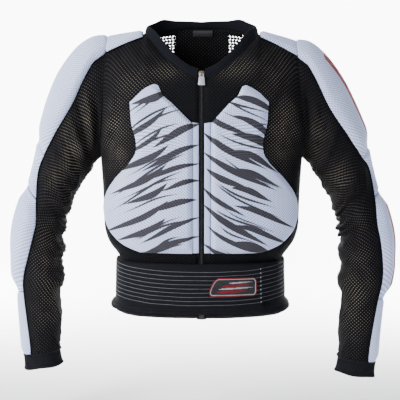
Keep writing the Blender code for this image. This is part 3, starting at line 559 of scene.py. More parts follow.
def new_material(name, roughness, metallic=0.0, sheen=0.0, gloss=0.5):
    """A material with its own Principled shader, which it returns with the node tree."""
    material = bpy.data.materials.new(name)
    material.use_nodes = True
    tree = material.node_tree
    shader = tree.nodes["Principled BSDF"]
    shader.inputs["Roughness"].default_value = roughness
    shader.inputs["Metallic"].default_value = metallic
    shader.inputs["Sheen Weight"].default_value = sheen
    shader.inputs["Specular IOR Level"].default_value = gloss
    return material, tree, shader


def cloth_coordinates(tree, across, along):
    """The cloth's own UV map, which is in metres, as angles that turn once for each given length."""
    place = add_node(tree, "ShaderNodeUVMap", {"uv_map": "cloth"}, {})
    scale = (2 * pi / across, 2 * pi / along, 0.0)
    turned = add_node(tree, "ShaderNodeVectorMath", {"operation": "MULTIPLY"}, {0: place.outputs[0], 1: scale})
    split = add_node(tree, "ShaderNodeSeparateXYZ", {}, {0: turned.outputs[0]})
    return split.outputs[0], split.outputs[1]


def dot_pattern(tree, across, along, low, high):
    """Oval dots in staggered rows, from 0 between them to 1 on them."""
    u, v = cloth_coordinates(tree, across, along)
    wave_u = add_node(tree, "ShaderNodeMath", {"operation": "COSINE"}, {0: u})
    wave_v = add_node(tree, "ShaderNodeMath", {"operation": "COSINE"}, {0: v})
    waves = {0: wave_u.outputs[0], 1: wave_v.outputs[0]}
    both = add_node(tree, "ShaderNodeMath", {"operation": "MULTIPLY"}, waves)
    limits = {"Value": both.outputs[0], "From Min": low, "From Max": high}
    return add_node(tree, "ShaderNodeMapRange", {"interpolation_type": "SMOOTHSTEP"}, limits).outputs[0]


def cloudy(tree, scale, low, high):
    """Soft uneven patches over the object, from 0 to 1."""
    place = add_node(tree, "ShaderNodeTexCoord", {}, {})
    inputs = {"Vector": place.outputs["Object"], "Scale": scale, "Detail": 3.0}
    clouds = add_node(tree, "ShaderNodeTexNoise", {}, inputs)
    limits = {"Value": clouds.outputs[0], "From Min": low, "From Max": high}
    return add_node(tree, "ShaderNodeMapRange", {}, limits).outputs[0]


def blend_colours(tree, share, first, second):
    """A colour from first to second. Each is a colour or another node's output."""
    inputs = {0: share, 6: first, 7: second}
    return add_node(tree, "ShaderNodeMix", {"data_type": "RGBA"}, inputs).outputs[2]


def add_relief(tree, shader, height, depth, strength=1.0):
    """Raises the surface by up to depth, in metres, where height is 1."""
    bump = add_node(tree, "ShaderNodeBump", {}, {"Height": height, "Distance": depth, "Strength": strength})
    tree.links.new(bump.outputs[0], shader.inputs["Normal"])


def make_net(name, thread, hole, openness):
    """Warp-knit polyester net: matt black yarn round oval holes in staggered rows. It gives dark cloth whose holes
    show as paler dots where it is stretched."""
    material, tree, shader = new_material(name, 0.90, gloss=0.06)
    dots = dot_pattern(tree, NET_PITCH_ACROSS, NET_PITCH_ALONG, 0.42, 0.84)
    open_share = add_node(tree, "ShaderNodeAttribute", {"attribute_name": "open"}, {}).outputs["Fac"]
    patches = cloudy(tree, 26.0, 0.38, 0.62)
    shown = add_node(tree, "ShaderNodeMath", {"operation": "MULTIPLY_ADD"}, {0: patches, 1: 0.6, 2: 0.4})
    visible = add_node(tree, "ShaderNodeMath", {"operation": "MULTIPLY"}, {0: open_share, 1: shown.outputs[0]})
    limits = {0: visible.outputs[0], 1: 1.0 - openness, 2: openness}
    amount = add_node(tree, "ShaderNodeMath", {"operation": "MULTIPLY_ADD", "use_clamp": True}, limits)
    share = add_node(tree, "ShaderNodeMath", {"operation": "MULTIPLY"}, {0: dots, 1: amount.outputs[0]})
    cloth = blend_colours(tree, share.outputs[0], colour(thread), colour(hole))
    tree.links.new(cloth, shader.inputs["Base Color"])
    deep = add_node(tree, "ShaderNodeMath", {"operation": "MULTIPLY"}, {0: dots, 1: -1.0})
    add_relief(tree, shader, deep.outputs[0], 0.0006, 0.6)
    return material


def make_rib_knit(name, base, groove, pitch, depth, along=False):
    """Stretch rib knit: fine soft ridges, pitch apart, with darker grooves between them."""
    material, tree, shader = new_material(name, 0.85, gloss=0.06)
    turns = cloth_coordinates(tree, pitch, pitch)
    wave = add_node(tree, "ShaderNodeMath", {"operation": "COSINE"}, {0: turns[1] if along else turns[0]})
    limits = {"Value": wave.outputs[0], "From Min": -1.0, "From Max": 0.6}
    ridge = add_node(tree, "ShaderNodeMapRange", {"interpolation_type": "SMOOTHSTEP"}, limits).outputs[0]
    tree.links.new(blend_colours(tree, ridge, colour(groove), colour(base)), shader.inputs["Base Color"])
    add_relief(tree, shader, ridge, depth)
    return material


# How far a print's edge runs into the yarn, and a distance that is farther off than any print
PRINT_EDGE = 0.0004
UNPRINTED = 0.01


def make_air_mesh(name, base, dot, pitch, ink=None, stripe=None):
    """White polyester air-mesh on foam: tiny dimples in slanting rows, pitch apart, that shade the white with pale
    blue grey. Printed strokes and a stripe lie in the yarn, so the dimples run on through them."""
    material, tree, shader = new_material(name, 0.75, sheen=0.05, gloss=0.25)
    dimples = dot_pattern(tree, pitch, pitch, 0.0, 0.80)
    patches = cloudy(tree, 9.0, 0.35, 0.70)
    tone = blend_colours(tree, patches, colour(base), colour("#c4d0f8"))
    cloth = blend_colours(tree, dimples, tone, colour(dot))
    for attribute, code, dimple_code in ((ink, "#26252c", "#454450"), (stripe, "#8a1a24", "#64151c")):
        if attribute:
            distance = add_node(tree, "ShaderNodeAttribute", {"attribute_name": attribute}, {}).outputs["Fac"]
            limits = {"Value": distance, "From Min": PRINT_EDGE, "From Max": -PRINT_EDGE}
            printed = add_node(tree, "ShaderNodeMapRange", {}, limits).outputs[0]
            print_tone = blend_colours(tree, dimples, colour(code), colour(dimple_code))
            cloth = blend_colours(tree, printed, cloth, print_tone)
    tree.links.new(cloth, shader.inputs["Base Color"])
    deep = add_node(tree, "ShaderNodeMath", {"operation": "MULTIPLY"}, {0: dimples, 1: -1.0})
    add_relief(tree, shader, deep.outputs[0], 0.0005, 0.7)
    return material


def make_plain(name, code, worn, roughness, metallic=0.0, gloss=0.4):
    """A smooth finish with fine grain and slightly uneven tone, such as moulded rubber, thread or cast zinc."""
    material, tree, shader = new_material(name, roughness, metallic, gloss=gloss)
    patches = cloudy(tree, 60.0, 0.3, 0.7)
    tree.links.new(blend_colours(tree, patches, colour(code), colour(worn)), shader.inputs["Base Color"])
    add_relief(tree, shader, cloudy(tree, 900.0, 0.3, 0.7), 0.00005)
    return material


# Knitted net of the body and sleeves: black yarn that lets beige show through its holes
NET = make_net("black warp-knit net", "#0d0e12", "#8d8374", 0.04)
# The net's inner and back sides, where little shows through
CLOSED_NET = make_net("black net lining side", "#121317", "#232224", 0.5)
# Stretch knit of the collar: finer than the net, so it looks smooth, and a little blue
COLLAR_KNIT = make_rib_knit("black collar knit", "#16181f", "#0e0f13", 0.0016, 0.00012)
# Ribbed knit of the cuffs: upright ridges that show as soft dark stripes
CUFF_KNIT = make_rib_knit("black ribbed cuff knit", "#1b1c21", "#0d0e11", 0.0030, 0.0004)
# Woven elastic of the belt: fine level cords, a little lighter than the net
ELASTIC = make_rib_knit("black woven elastic", "#191a1f", "#0e0f12", 0.0014, 0.00015, along=True)
# Fine thread woven into the elastic in lines: it catches the light as pale grey
ELASTIC_LINE = make_plain("grey elastic line", "#5f6167", "#4b4d53", 0.7)
# Knitted air-mesh over foam: a soft bluish white, shaded by its dimples
PRINTED_MESH = make_air_mesh("printed white air-mesh", "#d2ddff", "#56628f", MESH_PITCH, ink="ink")
WHITE_MESH = make_air_mesh("white air-mesh", "#d2ddff", "#65719d", MESH_PITCH, stripe="stripe")
# Close knit of the strips beside the zip: so fine that it looks plain
PRINTED_KNIT = make_air_mesh("printed smooth white knit", "#c2cef4", "#a9b5da", KNIT_PITCH, ink="ink")
# Woven binding tape: a dull black edge round the pads and over the seams
PIPING = make_plain("black binding tape", "#0e0f12", "#15161a", 0.85, gloss=0.1)
# Polyester sewing thread: its stitches catch a little more light than the cloth
THREAD = make_plain("black sewing thread", "#25262b", "#1b1c20", 0.7, gloss=0.2)
GREY_THREAD = make_plain("grey sewing thread", "#9a9ca2", "#808288", 0.6)
# Woven nylon tape and moulded nylon coil: the tape is dull, the coil has small bright points
ZIP_TAPE = make_rib_knit("black zip tape", "#1a1b1f", "#0f1012", 0.0010, 0.00008, along=True)
COIL = make_plain("black nylon coil", "#222328", "#17181b", 0.38)
# Die-cast zinc, plated on the slider and worn dull on the box at the zip's end
CAST_ZINC = make_plain("cast zinc, bronze tint", "#948a78", "#786f60", 0.34, metallic=1.0)
END_METAL = make_plain("dull zinc", "#45423f", "#353331", 0.75, metallic=0.3, gloss=0.2)
# Satin aluminium of the puller: pale grey with soft wide highlights
PULLER_METAL = make_plain("satin aluminium", "#d5dbe6", "#bcc3d0", 0.50, metallic=1.0)
# Moulded soft rubber of the badge: dull black with dark red edges
BADGE_RUBBER = make_plain("moulded badge rubber", "#1c1c20", "#27272c", 0.6, gloss=0.2)
BADGE_EDGE = make_plain("red badge edge", "#5e0a12", "#6c121a", 0.6, gloss=0.2)
# Woven satin of the neck label: smoother than the net, so a little lighter
LABEL_SATIN = make_plain("black satin label", "#2d2e33", "#26272b", 0.5)


def grid(across, along, place, value=None):
    """A grid of across by along faces, whose points lie where place(u, v) says for shares from 0 to 1. Value names
    a number that each point keeps for its material."""
    bm = bmesh.new()
    if value:
        bm.verts.layers.float.new(value)
    bmesh.ops.create_grid(bm, x_segments=across, y_segments=along, size=0.5)
    spots = {}
    for vert in bm.verts:
        i, j = round((vert.co.x + 0.5) * across), round((vert.co.y + 0.5) * along)
        spots[i, j] = vert
        vert.co = place(i / across, j / along)
    bm.normal_update()
    return bm, spots


def lay_cloth(bm, spots, across, along, middle=0.5, level_rows=None):
    """Gives the grid a UV map in metres, measured along the cloth from its middle column. Level_rows names the one
    column that lengths are measured along for all of them, so that rows stay level round a bent sleeve."""
    centre = round(across * middle)
    u, v = {}, {}
    for j in range(along + 1):
        u[centre, j] = 0.0
        for i in range(centre, across):
            u[i + 1, j] = u[i, j] + (spots[i + 1, j].co - spots[i, j].co).length
        for i in range(centre, 0, -1):
            u[i - 1, j] = u[i, j] - (spots[i - 1, j].co - spots[i, j].co).length
    for i in range(across + 1):
        v[i, 0] = 0.0
        for j in range(along):
            v[i, j + 1] = v[i, j] + (spots[i, j + 1].co - spots[i, j].co).length
    layer = bm.loops.layers.uv.new("cloth")
    for (i, j), vert in spots.items():
        for loop in vert.link_loops:
            loop[layer].uv = (u[i, j], v[i if level_rows is None else level_rows, j])


def face_above(spots, i, j):
    """The grid's face between columns i and i + 1 and rows j and j + 1."""
    corners = {spots[i, j], spots[i + 1, j], spots[i, j + 1], spots[i + 1, j + 1]}
    return next(face for face in spots[i, j].link_faces if set(face.verts) == corners)


def face_outward(bm, inside):
    """Turns an open sheet's faces so that they look away from the point inside."""
    facing = sum((face.calc_center_median() - inside).dot(face.normal) * face.calc_area() for face in bm.faces)
    if facing < 0:
        bmesh.ops.reverse_faces(bm, faces=bm.faces)
    bm.normal_update()


def move_out(bm, distance):
    """Moves each point along its normal by what distance(point) says."""
    bm.normal_update()
    moves = [(vert, vert.normal * distance(vert)) for vert in bm.verts]
    for vert, move in moves:
        vert.co += move


def fold_height(x, z):
    """How far the folds raise the cloth at this place of the front view."""
    total = 0.0
    for fold in FOLDS:
        run_x, run_z = fold.x1 - fold.x0, fold.z1 - fold.z0
        reach = fold.width * 3
        near_x = min(fold.x0, fold.x1) - reach < x < max(fold.x0, fold.x1) + reach
        if not (near_x and min(fold.z0, fold.z1) - reach < z < max(fold.z0, fold.z1) + reach):
            continue
        length_squared = run_x**2 + run_z**2
        share = ((x - fold.x0) * run_x + (z - fold.z0) * run_z) / length_squared
        off = ((x - fold.x0) * run_z - (z - fold.z0) * run_x) / sqrt(length_squared)
        bend = 0.004 * sin(pi * share)
        ends = ease((share + 0.1) / 0.35) * ease((1.1 - share) / 0.35)
        total += FOLD_STRENGTH * fold.height * ends * exp(-(((off - bend) / fold.width) ** 2))
    return total


def net_relief(vert):
    """Folds on the front, and the slight unevenness of loose cloth all over."""
    facing = ease(-vert.normal.y * 2.2)
    loose = noise.noise(vert.co * 14.0) * 0.0012 + noise.noise(vert.co * 34.0) * 0.0005
    return facing * fold_height(vert.co.x, vert.co.z) + loose


def stretch_of(point, facing):
    """How far the net's holes are open at this place."""
    total = 0.0
    for spot in SPOTS:
        off = ((point.x - spot.x) / spot.half_width) ** 2 + ((point.z - spot.z) / spot.half_height) ** 2
        if off < 4:
            total = max(total, spot.strength * exp(-off))
    return total * facing + 0.12 * (1 - facing)


def add_stretch(bm):
    layer = bm.verts.layers.float["open"]
    for vert in bm.verts:
        vert[layer] = stretch_of(vert.co, ease(-vert.normal.y * 2.0 + 0.4))


def add_piece(name, bm, materials, node_names, body="jacket"):
    """Makes the mesh a piece that rides on its body and stands for the CAD nodes it is given."""
    mesh = bpy.data.meshes.new(name)
    bm.to_mesh(mesh)
    bm.free()
    for material in materials:
        mesh.materials.append(material)
    mesh.shade_smooth()
    obj = bpy.data.objects.new(name, mesh)
    bpy.context.scene.collection.objects.link(obj)
    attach(obj, body)
    if node_names:
        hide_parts(*node_names)
    return obj


def add_wall(obj, thickness, outward=False):
    wall = obj.modifiers.new("wall", "SOLIDIFY")
    wall.thickness = thickness
    wall.offset = 1.0 if outward else -1.0
    wall.use_even_offset = False
    return wall


def add_tube(name, points, radius, material, closed=False):
    """A round cord of cloth along the points, for piping and sewn seams."""
    curve = bpy.data.curves.new(name, "CURVE")
    curve.dimensions = "3D"
    curve.bevel_depth = radius
    curve.bevel_resolution = 2
    curve.use_fill_caps = True
    line = curve.splines.new("POLY")
    line.points.add(len(points) - 1)
    for spot, point in zip(line.points, points):
        spot.co = (*point, 1.0)
    line.use_cyclic_u = closed
    holder = bpy.data.objects.new(name + "_line", curve)
    bpy.context.scene.collection.objects.link(holder)
    bpy.context.view_layer.update()
    graph = bpy.context.evaluated_depsgraph_get()
    mesh = bpy.data.meshes.new_from_object(holder.evaluated_get(graph))
    bpy.data.objects.remove(holder)
    bm = bmesh.new()
    bm.from_mesh(mesh)
    bpy.data.meshes.remove(mesh)
    bmesh.ops.recalc_face_normals(bm, faces=bm.faces)
    return add_piece(name, bm, [material], [])


def even_points(points, pitch):
    """Points spaced pitch apart along a line, each with the line's direction there."""
    spaced = []
    travelled, due = 0.0, 0.0
    for first, second in zip(points, points[1:]):
        length = (second - first).length
        while due <= travelled + length and length > 0:
            spaced.append((first.lerp(second, (due - travelled) / length), (second - first).normalized()))
            due += pitch
        travelled += length
    return spaced


def add_stitches(name, points, stitch, material):
    """A row of stitches: short rounded beads of thread along the line."""
    bm = bmesh.new()
    for middle, direction in even_points(points, stitch.pitch):
        turn = direction.to_track_quat("X", "Z").to_matrix().to_4x4()
        size = Matrix.Diagonal((stitch.length / 2, stitch.radius, stitch.radius, 1.0))
        matrix = Matrix.Translation(middle) @ turn @ size
        bmesh.ops.create_icosphere(bm, subdivisions=1, radius=1.0, matrix=matrix)
    return add_piece(name, bm, [material], [])


def panel_levels(steps):
    """Levels of a body panel's rows: evenly spaced up to the yoke line, and over the yoke."""
    lower = [mix(BELT_TOP - BELT_TUCK, -YOKE_DROP, j / steps) for j in range(steps + 1)]
    upper_steps = steps * 2 // 5
    return lower + [1.0 + (j + 1) / upper_steps for j in range(upper_steps)]


def clear_of_pad(point, side):
    """From 0 under a chest pad to 1 beside it."""
    z, x = point.z, abs(point.x)
    bottom = body_height(BODY[PAD_FIRST_ROW].height)
    if z < bottom:
        return ease((bottom - z) / 0.010)
    if z <= -YOKE_DROP:
        return ease((x - pad_edges(z, side)[1]) / 0.012)
    rise = (z + YOKE_DROP) / (top_edge(x, side, True)[1] + YOKE_DROP)
    last = PAD_TOP[-1].rise
    inner, outer = pad_edges(1.0 + min(rise, last), side)
    return max(ease((x - outer) / 0.012), ease((inner - x) / 0.012), ease((rise - last) / 0.08))


def make_front_net(side):
    across, levels = 44, panel_levels(90)
    along = len(levels) - 1
    sizes = [body_size(level) for level in levels]

    def place(u, v):
        j = round(v * along)
        end = edge_half(levels[j], side) + SEAM_GAP / 2
        x = column_x(sizes[j], FRONT_EDGE - SEAM_GAP / 2, end, u)
        return body_point(side.sign * x, levels[j], side, True, sizes[j])

    bm, spots = grid(across, along, place, "open")
    lay_cloth(bm, spots, across, along, 0.0)
    face_outward(bm, BODY_MIDDLE)
    move_out(bm, lambda vert: net_relief(vert) * clear_of_pad(vert.co, side))
    add_stretch(bm)
    obj = add_piece(f"front_net_{side.name}", bm, [NET], [f"front_panel_{side.name}"])
    add_wall(obj, NET_WALL)


# The coarse net beside the back of the neck: where it starts and ends, its lower edge, how far it laps over the back,
# how many holes it has across and along, half its threads' width and how thick they are
NECK_NET_INNER, NECK_NET_OUTER, NECK_NET_LOW = 0.050, 0.096, -0.030
NECK_NET_LAP = 0.003
NECK_NET_ACROSS, NECK_NET_ALONG = 8, 9
NECK_NET_HALF_THREAD, NECK_NET_WALL = 0.0023, 0.0009


def in_neck_net(point):
    top_share = min(abs(point.x) / NECK_HALF_WIDTH, 1.0)
    high_z = mix(NECK_BACK_RISE, SHOULDER_RISE, top_share**2) - 0.004
    return NECK_NET_INNER < abs(point.x) < NECK_NET_OUTER and NECK_NET_LOW < point.z < high_z


def make_back_net():
    half, levels = 50, panel_levels(90)
    along = len(levels) - 1
    sizes = [body_size(level) for level in levels]

    def place(u, v):
        j = round(v * along)
        side = SIDES[0] if u < 0.5 else SIDES[1]
        end = edge_half(levels[j], side) + SEAM_GAP / 2
        x = column_x(sizes[j], 0.0, end, abs(2 * u - 1))
        return body_point(side.sign * x, levels[j], side, False, sizes[j])

    bm, spots = grid(2 * half, along, place, "open")
    lay_cloth(bm, spots, 2 * half, along)
    face_outward(bm, BODY_MIDDLE)
    move_out(bm, net_relief)
    add_stretch(bm)
    open_faces = [face for face in bm.faces if all(in_neck_net(vert.co) for vert in face.verts)]
    bmesh.ops.delete(bm, geom=open_faces, context="FACES")
    obj = add_piece("back_net", bm, [NET], ["back_panel"])
    add_wall(obj, NET_WALL)


def make_neck_net(side):
    """The coarse net beside the back of the neck, whose holes go right through."""

    def place(u, v):
        shift = 0.5 / NECK_NET_ACROSS if round(v * NECK_NET_ALONG) % 2 else 0.0
        x = mix(NECK_NET_INNER - NECK_NET_LAP, NECK_NET_OUTER + NECK_NET_LAP, u + shift)
        top = mix(NECK_BACK_RISE, SHOULDER_RISE, min(x / NECK_HALF_WIDTH, 1.0) ** 2)
        level = 1.0 + clamp((mix(NECK_NET_LOW - NECK_NET_LAP, top - 0.002, v) + YOKE_DROP) / (top + YOKE_DROP))
        return body_point(side.sign * x, level, side, False) + Vector((0, -NET_WALL / 2, 0))

    bm, spots = grid(NECK_NET_ACROSS, NECK_NET_ALONG, place)
    lay_cloth(bm, spots, NECK_NET_ACROSS, NECK_NET_ALONG)
    face_outward(bm, BODY_MIDDLE)
    holes = bm.faces[:]
    bmesh.ops.inset_individual(bm, faces=holes, thickness=NECK_NET_HALF_THREAD)
    bmesh.ops.delete(bm, geom=holes, context="FACES_ONLY")
    obj = add_piece(f"neck_net_{side.name}", bm, [CLOSED_NET], [])
    add_wall(obj, NECK_NET_WALL)
    smooth = obj.modifiers.new("round", "SUBSURF")
    smooth.levels = smooth.render_levels = 1


def pad_top_level(v, share):
    """The level of a chest pad's row: share of the rows lie below the yoke line."""
    bottom = body_height(BODY[PAD_FIRST_ROW].height)
    if v <= share:
        return mix(bottom, -YOKE_DROP, v / share)
    return 1.0 + PAD_TOP[-1].rise * (v - share) / (1 - share)


def pad_edges(level, side):
    """The inner and outer x of a chest pad at a level."""
    inner_edge = FRONT_EDGE + PLACKET_WIDTH + SEAM_GAP
    top_reach = CHEST_HALF_WIDTH * (1.0 - side.pad_lean)
    if level > 1.0:
        rises = column_of(PAD_TOP, "rise")
        inner = np.interp(level - 1.0, rises, column_of(PAD_TOP, "inner"))
        outer = smooth_value(rises, column_of(PAD_TOP, "outer"), level - 1.0)
        return top_reach * inner, top_reach * outer
    share = height_share(level)
    reach = CHEST_HALF_WIDTH * (1.0 - side.pad_lean * min(share, 1.0) ** 2)
    rows = BODY[PAD_FIRST_ROW:]
    outer = reach * smooth_value(column_of(rows, "height"), column_of(rows, "pad_outer"), share)
    v_start = rows[-2].height
    v_share = clamp((share - v_start) / (rows[-1].height - v_start))
    return mix(inner_edge, top_reach * PAD_TOP[0].inner, v_share), outer


def stroke_lines(side):
    """Each printed stroke as points of the front view and half widths along it."""
    steps = np.linspace(0.0, 1.0, 25)
    lines = []
    for number, row in enumerate(STROKE_ROWS[side.name]):
        for k in range(row.count):
            seed = Vector((k * 3.7, number * 5.3, side.sign * 2.1))
            uneven = [noise.noise(seed + Vector((0.5, 0.5, 9.0 * axis))) for axis in range(5)]
            start = np.array((row.start + 0.024 * max(uneven[0], 0.0), row.lowest + row.pitch * k + 0.010 * uneven[1]))
            angle = row.slope + 0.28 * uneven[2]
            run = row.length * (1 + 0.6 * uneven[3]) * np.array((cos(angle), sin(angle)))
            side_step = np.array((-run[1], run[0])) / np.linalg.norm(run)
            bow = row.bow * (np.sin(pi * steps) + 0.3 * np.sin(2 * pi * steps))
            width = row.width * (1 + 0.6 * uneven[4]) * np.sin(pi * steps**0.8) ** 1.3 + 0.0002
            lines.append((start + np.outer(steps, run) + np.outer(bow, side_step), width))
    return lines


def stroke_distance(points, side):
    """For each point of the front view, how far it lies outside the nearest stroke. Negative is inside."""
    nearest = np.full(len(points), 1.0)
    for line, half_width in stroke_lines(side):
        for low, high, wide_low, wide_high in zip(line, line[1:], half_width, half_width[1:]):
            step = high - low
            share = np.clip(((points - low) @ step) / (step @ step), 0.0, 1.0)
            off = points - low - np.outer(share, step)
            away = np.sqrt((off**2).sum(axis=1)) - (wide_low + (wide_high - wide_low) * share)
            nearest = np.minimum(nearest, away)
    return nearest


def add_ink(bm, side):
    """Stores on each point how far it lies from the printed strokes."""
    layer = bm.verts.layers.float["ink"]
    verts = list(bm.verts)
    points = np.array([(abs(vert.co.x), vert.co.z) for vert in verts])
    for vert, away in zip(verts, stroke_distance(points, side)):
        vert[layer] = away


def add_padding(name, node, bm, spots, size, thickness, rounding, material, fill):
    """Makes a padded piece of the grid: it stands on the surface and rounds off towards its edges."""
    across, along = size
    weights = {}
    for (i, j), vert in spots.items():
        first = ease((vert.co - spots[0, j].co).length / rounding.first) ** 0.6
        last = ease((vert.co - spots[across, j].co).length / rounding.last) ** 0.6
        start = mix(rounding.start_share, 1, ease((vert.co - spots[i, 0].co).length / rounding.start))
        end = mix(rounding.end_share, 1, ease((vert.co - spots[i, along].co).length / rounding.end))
        weights[vert] = first * last * start * end
    move_out(bm, lambda vert: PAD_REST + 0.0007 * noise.noise(vert.co * 22.0))
    bm.verts.index_update()
    weights = [(vert.index, weight) for vert, weight in weights.items()]
    obj = add_piece(name, bm, [material], [node])
    crown = obj.vertex_groups.new(name="crown")
    for index, weight in weights:
        crown.add([index], weight, "REPLACE")
    wall = add_wall(obj, thickness, outward=True)
    wall.vertex_group = crown.name
    wall.thickness_vertex_group = 0.22


def make_chest_padding(side):
    across, along, yoke_share = 110, 210, 0.873
    below = [pad_top_level(j / along, yoke_share) for j in range(along + 1)]
    sizes = [body_size(level) if level <= -YOKE_DROP else YOKE_SIZE for level in below]

    def place(u, v):
        j = round(v * along)
        inner, outer = pad_edges(below[j], side)
        x = column_x(sizes[j], inner, outer, u)
        return body_point(side.sign * x, below[j], side, True, sizes[j])

    bm, spots = grid(across, along, place, "ink")
    lay_cloth(bm, spots, across, along, 0.0)
    face_outward(bm, BODY_MIDDLE)
    add_ink(bm, side)
    straight = max(j for j in range(along + 1) if below[j] <= body_height(BODY[-2].height))
    ring = [(i, 0) for i in range(across)] + [(across, j) for j in range(along)]
    ring += [(i, along) for i in range(across, 0, -1)] + [(0, j) for j in range(along, straight, -1)]
    edge = [spots[key].co + spots[key].normal * (PAD_REST + 0.0008) for key in ring]
    add_tube(f"chest_binding_{side.name}", edge, PIPING_RADIUS, PIPING)
    names = f"chest_padding_{side.name}", f"chest_pad_{side.name}"
    rounding = Rounding(0.010, PAD_SHOULDER, 0.018, 0.012, 0.0, 0.0)
    add_padding(*names, bm, spots, (across, along), CHEST_PADDING, rounding, PRINTED_MESH, 0.5)


def make_placket(side):
    """The smooth white strip beside the zip, turned in at both edges. The print runs on over it."""
    across, along = 10, 150
    bottom, top = body_height(BODY[PAD_FIRST_ROW].height), body_height(BODY[-2].height)

    def place(u, v):
        level = mix(bottom, top + 0.002 * u, v)
        x = mix(FRONT_EDGE - 0.0008, FRONT_EDGE + PLACKET_WIDTH + SEAM_GAP, u)
        roll = 0.0022 * sin(pi * clamp(u * 1.04)) ** 0.5
        return body_point(side.sign * x, level, side, True) - Vector((0, 0.0012 + roll, 0))

    bm, spots = grid(across, along, place, "ink")
    lay_cloth(bm, spots, across, along)
    face_outward(bm, BODY_MIDDLE)
    add_ink(bm, side)
    obj = add_piece(f"placket_strip_{side.name}", bm, [PRINTED_KNIT], [f"placket_{side.name}"])
    add_wall(obj, 0.0010)
    x = side.sign * (FRONT_EDGE + 0.0095)
    seam = [body_point(x, mix(bottom, top, j / 120), side, True) - Vector((0, 0.0034, 0)) for j in range(121)]
    add_stitches(f"placket_stitches_{side.name}", seam, PLACKET_STITCH, GREY_THREAD)


def make_shoulder_padding(side):
    across, along = 44, 26
    inner_half = NECK_HALF_WIDTH + COLLAR_WALL - 0.0004

    def place(u, v):
        x = mix(inner_half, edge_half(2.0, side), v)
        reach = mix(0.36, 0.62, v)
        angle = (2 * u - 1) * asin(reach)
        depth = section_depth(x, YOKE_SIZE, angle < 0)
        z = mix(-YOKE_DROP, shoulder_line(x, side), cos(angle))
        return Vector((side.sign * x, depth * sin(angle), z))

    bm, spots = grid(across, along, place, "stripe")
    lay_cloth(bm, spots, across, along)
    face_outward(bm, BODY_MIDDLE)
    layer = bm.verts.layers.float["stripe"]
    for vert in bm.verts:
        vert[layer] = UNPRINTED
    front = [spots[0, j].co + spots[0, j].normal * 0.0022 for j in range(along + 1)]
    back = [spots[across, j].co + spots[across, j].normal * 0.0022 for j in range(along + 1)]
    add_tube(f"shoulder_binding_front_{side.name}", front, PIPING_RADIUS, PIPING)
    add_tube(f"shoulder_binding_back_{side.name}", back, PIPING_RADIUS, PIPING)
    names = f"shoulder_padding_{side.name}", f"shoulder_strip_{side.name}"
    rounding = Rounding(0.012, 0.012, 0.006, 0.004, 0.5, 0.75)
    add_padding(*names, bm, spots, (across, along), SHOULDER_PADDING, rounding, WHITE_MESH, 0.5)


def sleeve_surface(side, first, last, along, spans):
    """A place function over part of a sleeve, where spans(row) gives the angles of a row's two ends."""
    rows = [sleeve_row(mix(first, last, j / along)) for j in range(along + 1)]
    edges = [sleeve_edges(row, side) for row in rows]

    def place(u, v):
        j = round(v * along)
        low, high = spans(rows[j])
        return sleeve_point(rows[j], edges[j], mix(low, high, u), side)

    return place


def sleeve_middle(row_place, side):
    """The middle of the sleeve's section at a place between the table's rows."""
    outer, under = sleeve_edges(sleeve_row(row_place), side)
    middle = (outer + under) / 2
    return Vector((middle.x * side.sign, 0, middle.z))


# The gathers on the sleeve's inner side: how far apart they lie, the rows they run between and how deep they are.
# Fine ruffles run all the way down, and creases of the loose net slant round the arm.
GATHER_PITCH = {"right": 0.0090, "left": 0.0150}
GATHER_START, GATHER_END = {"right": 5.0, "left": 6.4}, {"right": 13.5, "left": 10.6}
GATHER_DEPTH = {"right": 0.0008, "left": 0.0042}
RUFFLE_DEPTH = 0.0006
SLEEVE_FOLD = 0.0022


def sleeve_fold(angle, travel, side):
    """Slanting creases of the loose net round the arm, sharper along their backs than between them."""
    slant = travel * 30.0 + 1.1 * cos(angle)
    place = Vector((1.3 * cos(angle), 1.3 * sin(angle) + slant * 0.15, slant + side.sign * 4.0))
    ridge = 1.0 - min(abs(noise.noise(place)) * 3.2, 1.0)
    return SLEEVE_FOLD * ridge**2


def make_sleeve_net(side):
    across, along = 112, 210
    last_row = len(SLEEVE) - 1
    place = sleeve_surface(side, 0.0, last_row, along, lambda row: (0.0, 2 * pi))
    bm, spots = grid(across, along, place, "open")
    lay_cloth(bm, spots, across, along, level_rows=across // 4)
    bmesh.ops.remove_doubles(bm, verts=bm.verts, dist=1e-6)
    spots = {key: vert for key, vert in spots.items() if vert.is_valid}
    face_outward(bm, sleeve_middle(last_row / 2, side))
    gathers, clear = {}, {}
    for (i, j), vert in spots.items():
        at = last_row * j / along
        angle = 2 * pi * i / across
        row = sleeve_row(at)
        off_strip = abs((angle + radians(row.turn) * side.turn + pi) % (2 * pi) - pi) - radians(row.strip)
        clear[vert] = ease((off_strip + 0.02) / 0.22)
        inner_side = max(-cos(angle), 0.0) ** 1.3
        start, end = GATHER_START[side.name], GATHER_END[side.name]
        reach = ease((at - start) / 1.5) * ease((end - at) / 1.5)
        travel = at * UNDERARM_LENGTH / last_row
        wobble = 1.6 * noise.noise(Vector((angle * 1.2, travel * 40, side.sign * 3.0)))
        wave = sin(2 * pi * travel / GATHER_PITCH[side.name] + wobble + 1.1 * sin(angle))
        ruffle = RUFFLE_DEPTH * ease((at - 1.5) / 2.0) + GATHER_DEPTH[side.name] * reach
        away = ease((at - 0.5) / 2.0) * ease((off_strip - 0.05) / 0.5)
        gathers[vert] = ruffle * inner_side * wave + away * sleeve_fold(angle, travel, side)
    move_out(bm, lambda vert: (net_relief(vert) + gathers[vert]) * clear[vert])
    add_stretch(bm)
    obj = add_piece(f"sleeve_net_{side.name}", bm, [NET], [f"sleeve_{side.name}"])
    add_wall(obj, NET_WALL)


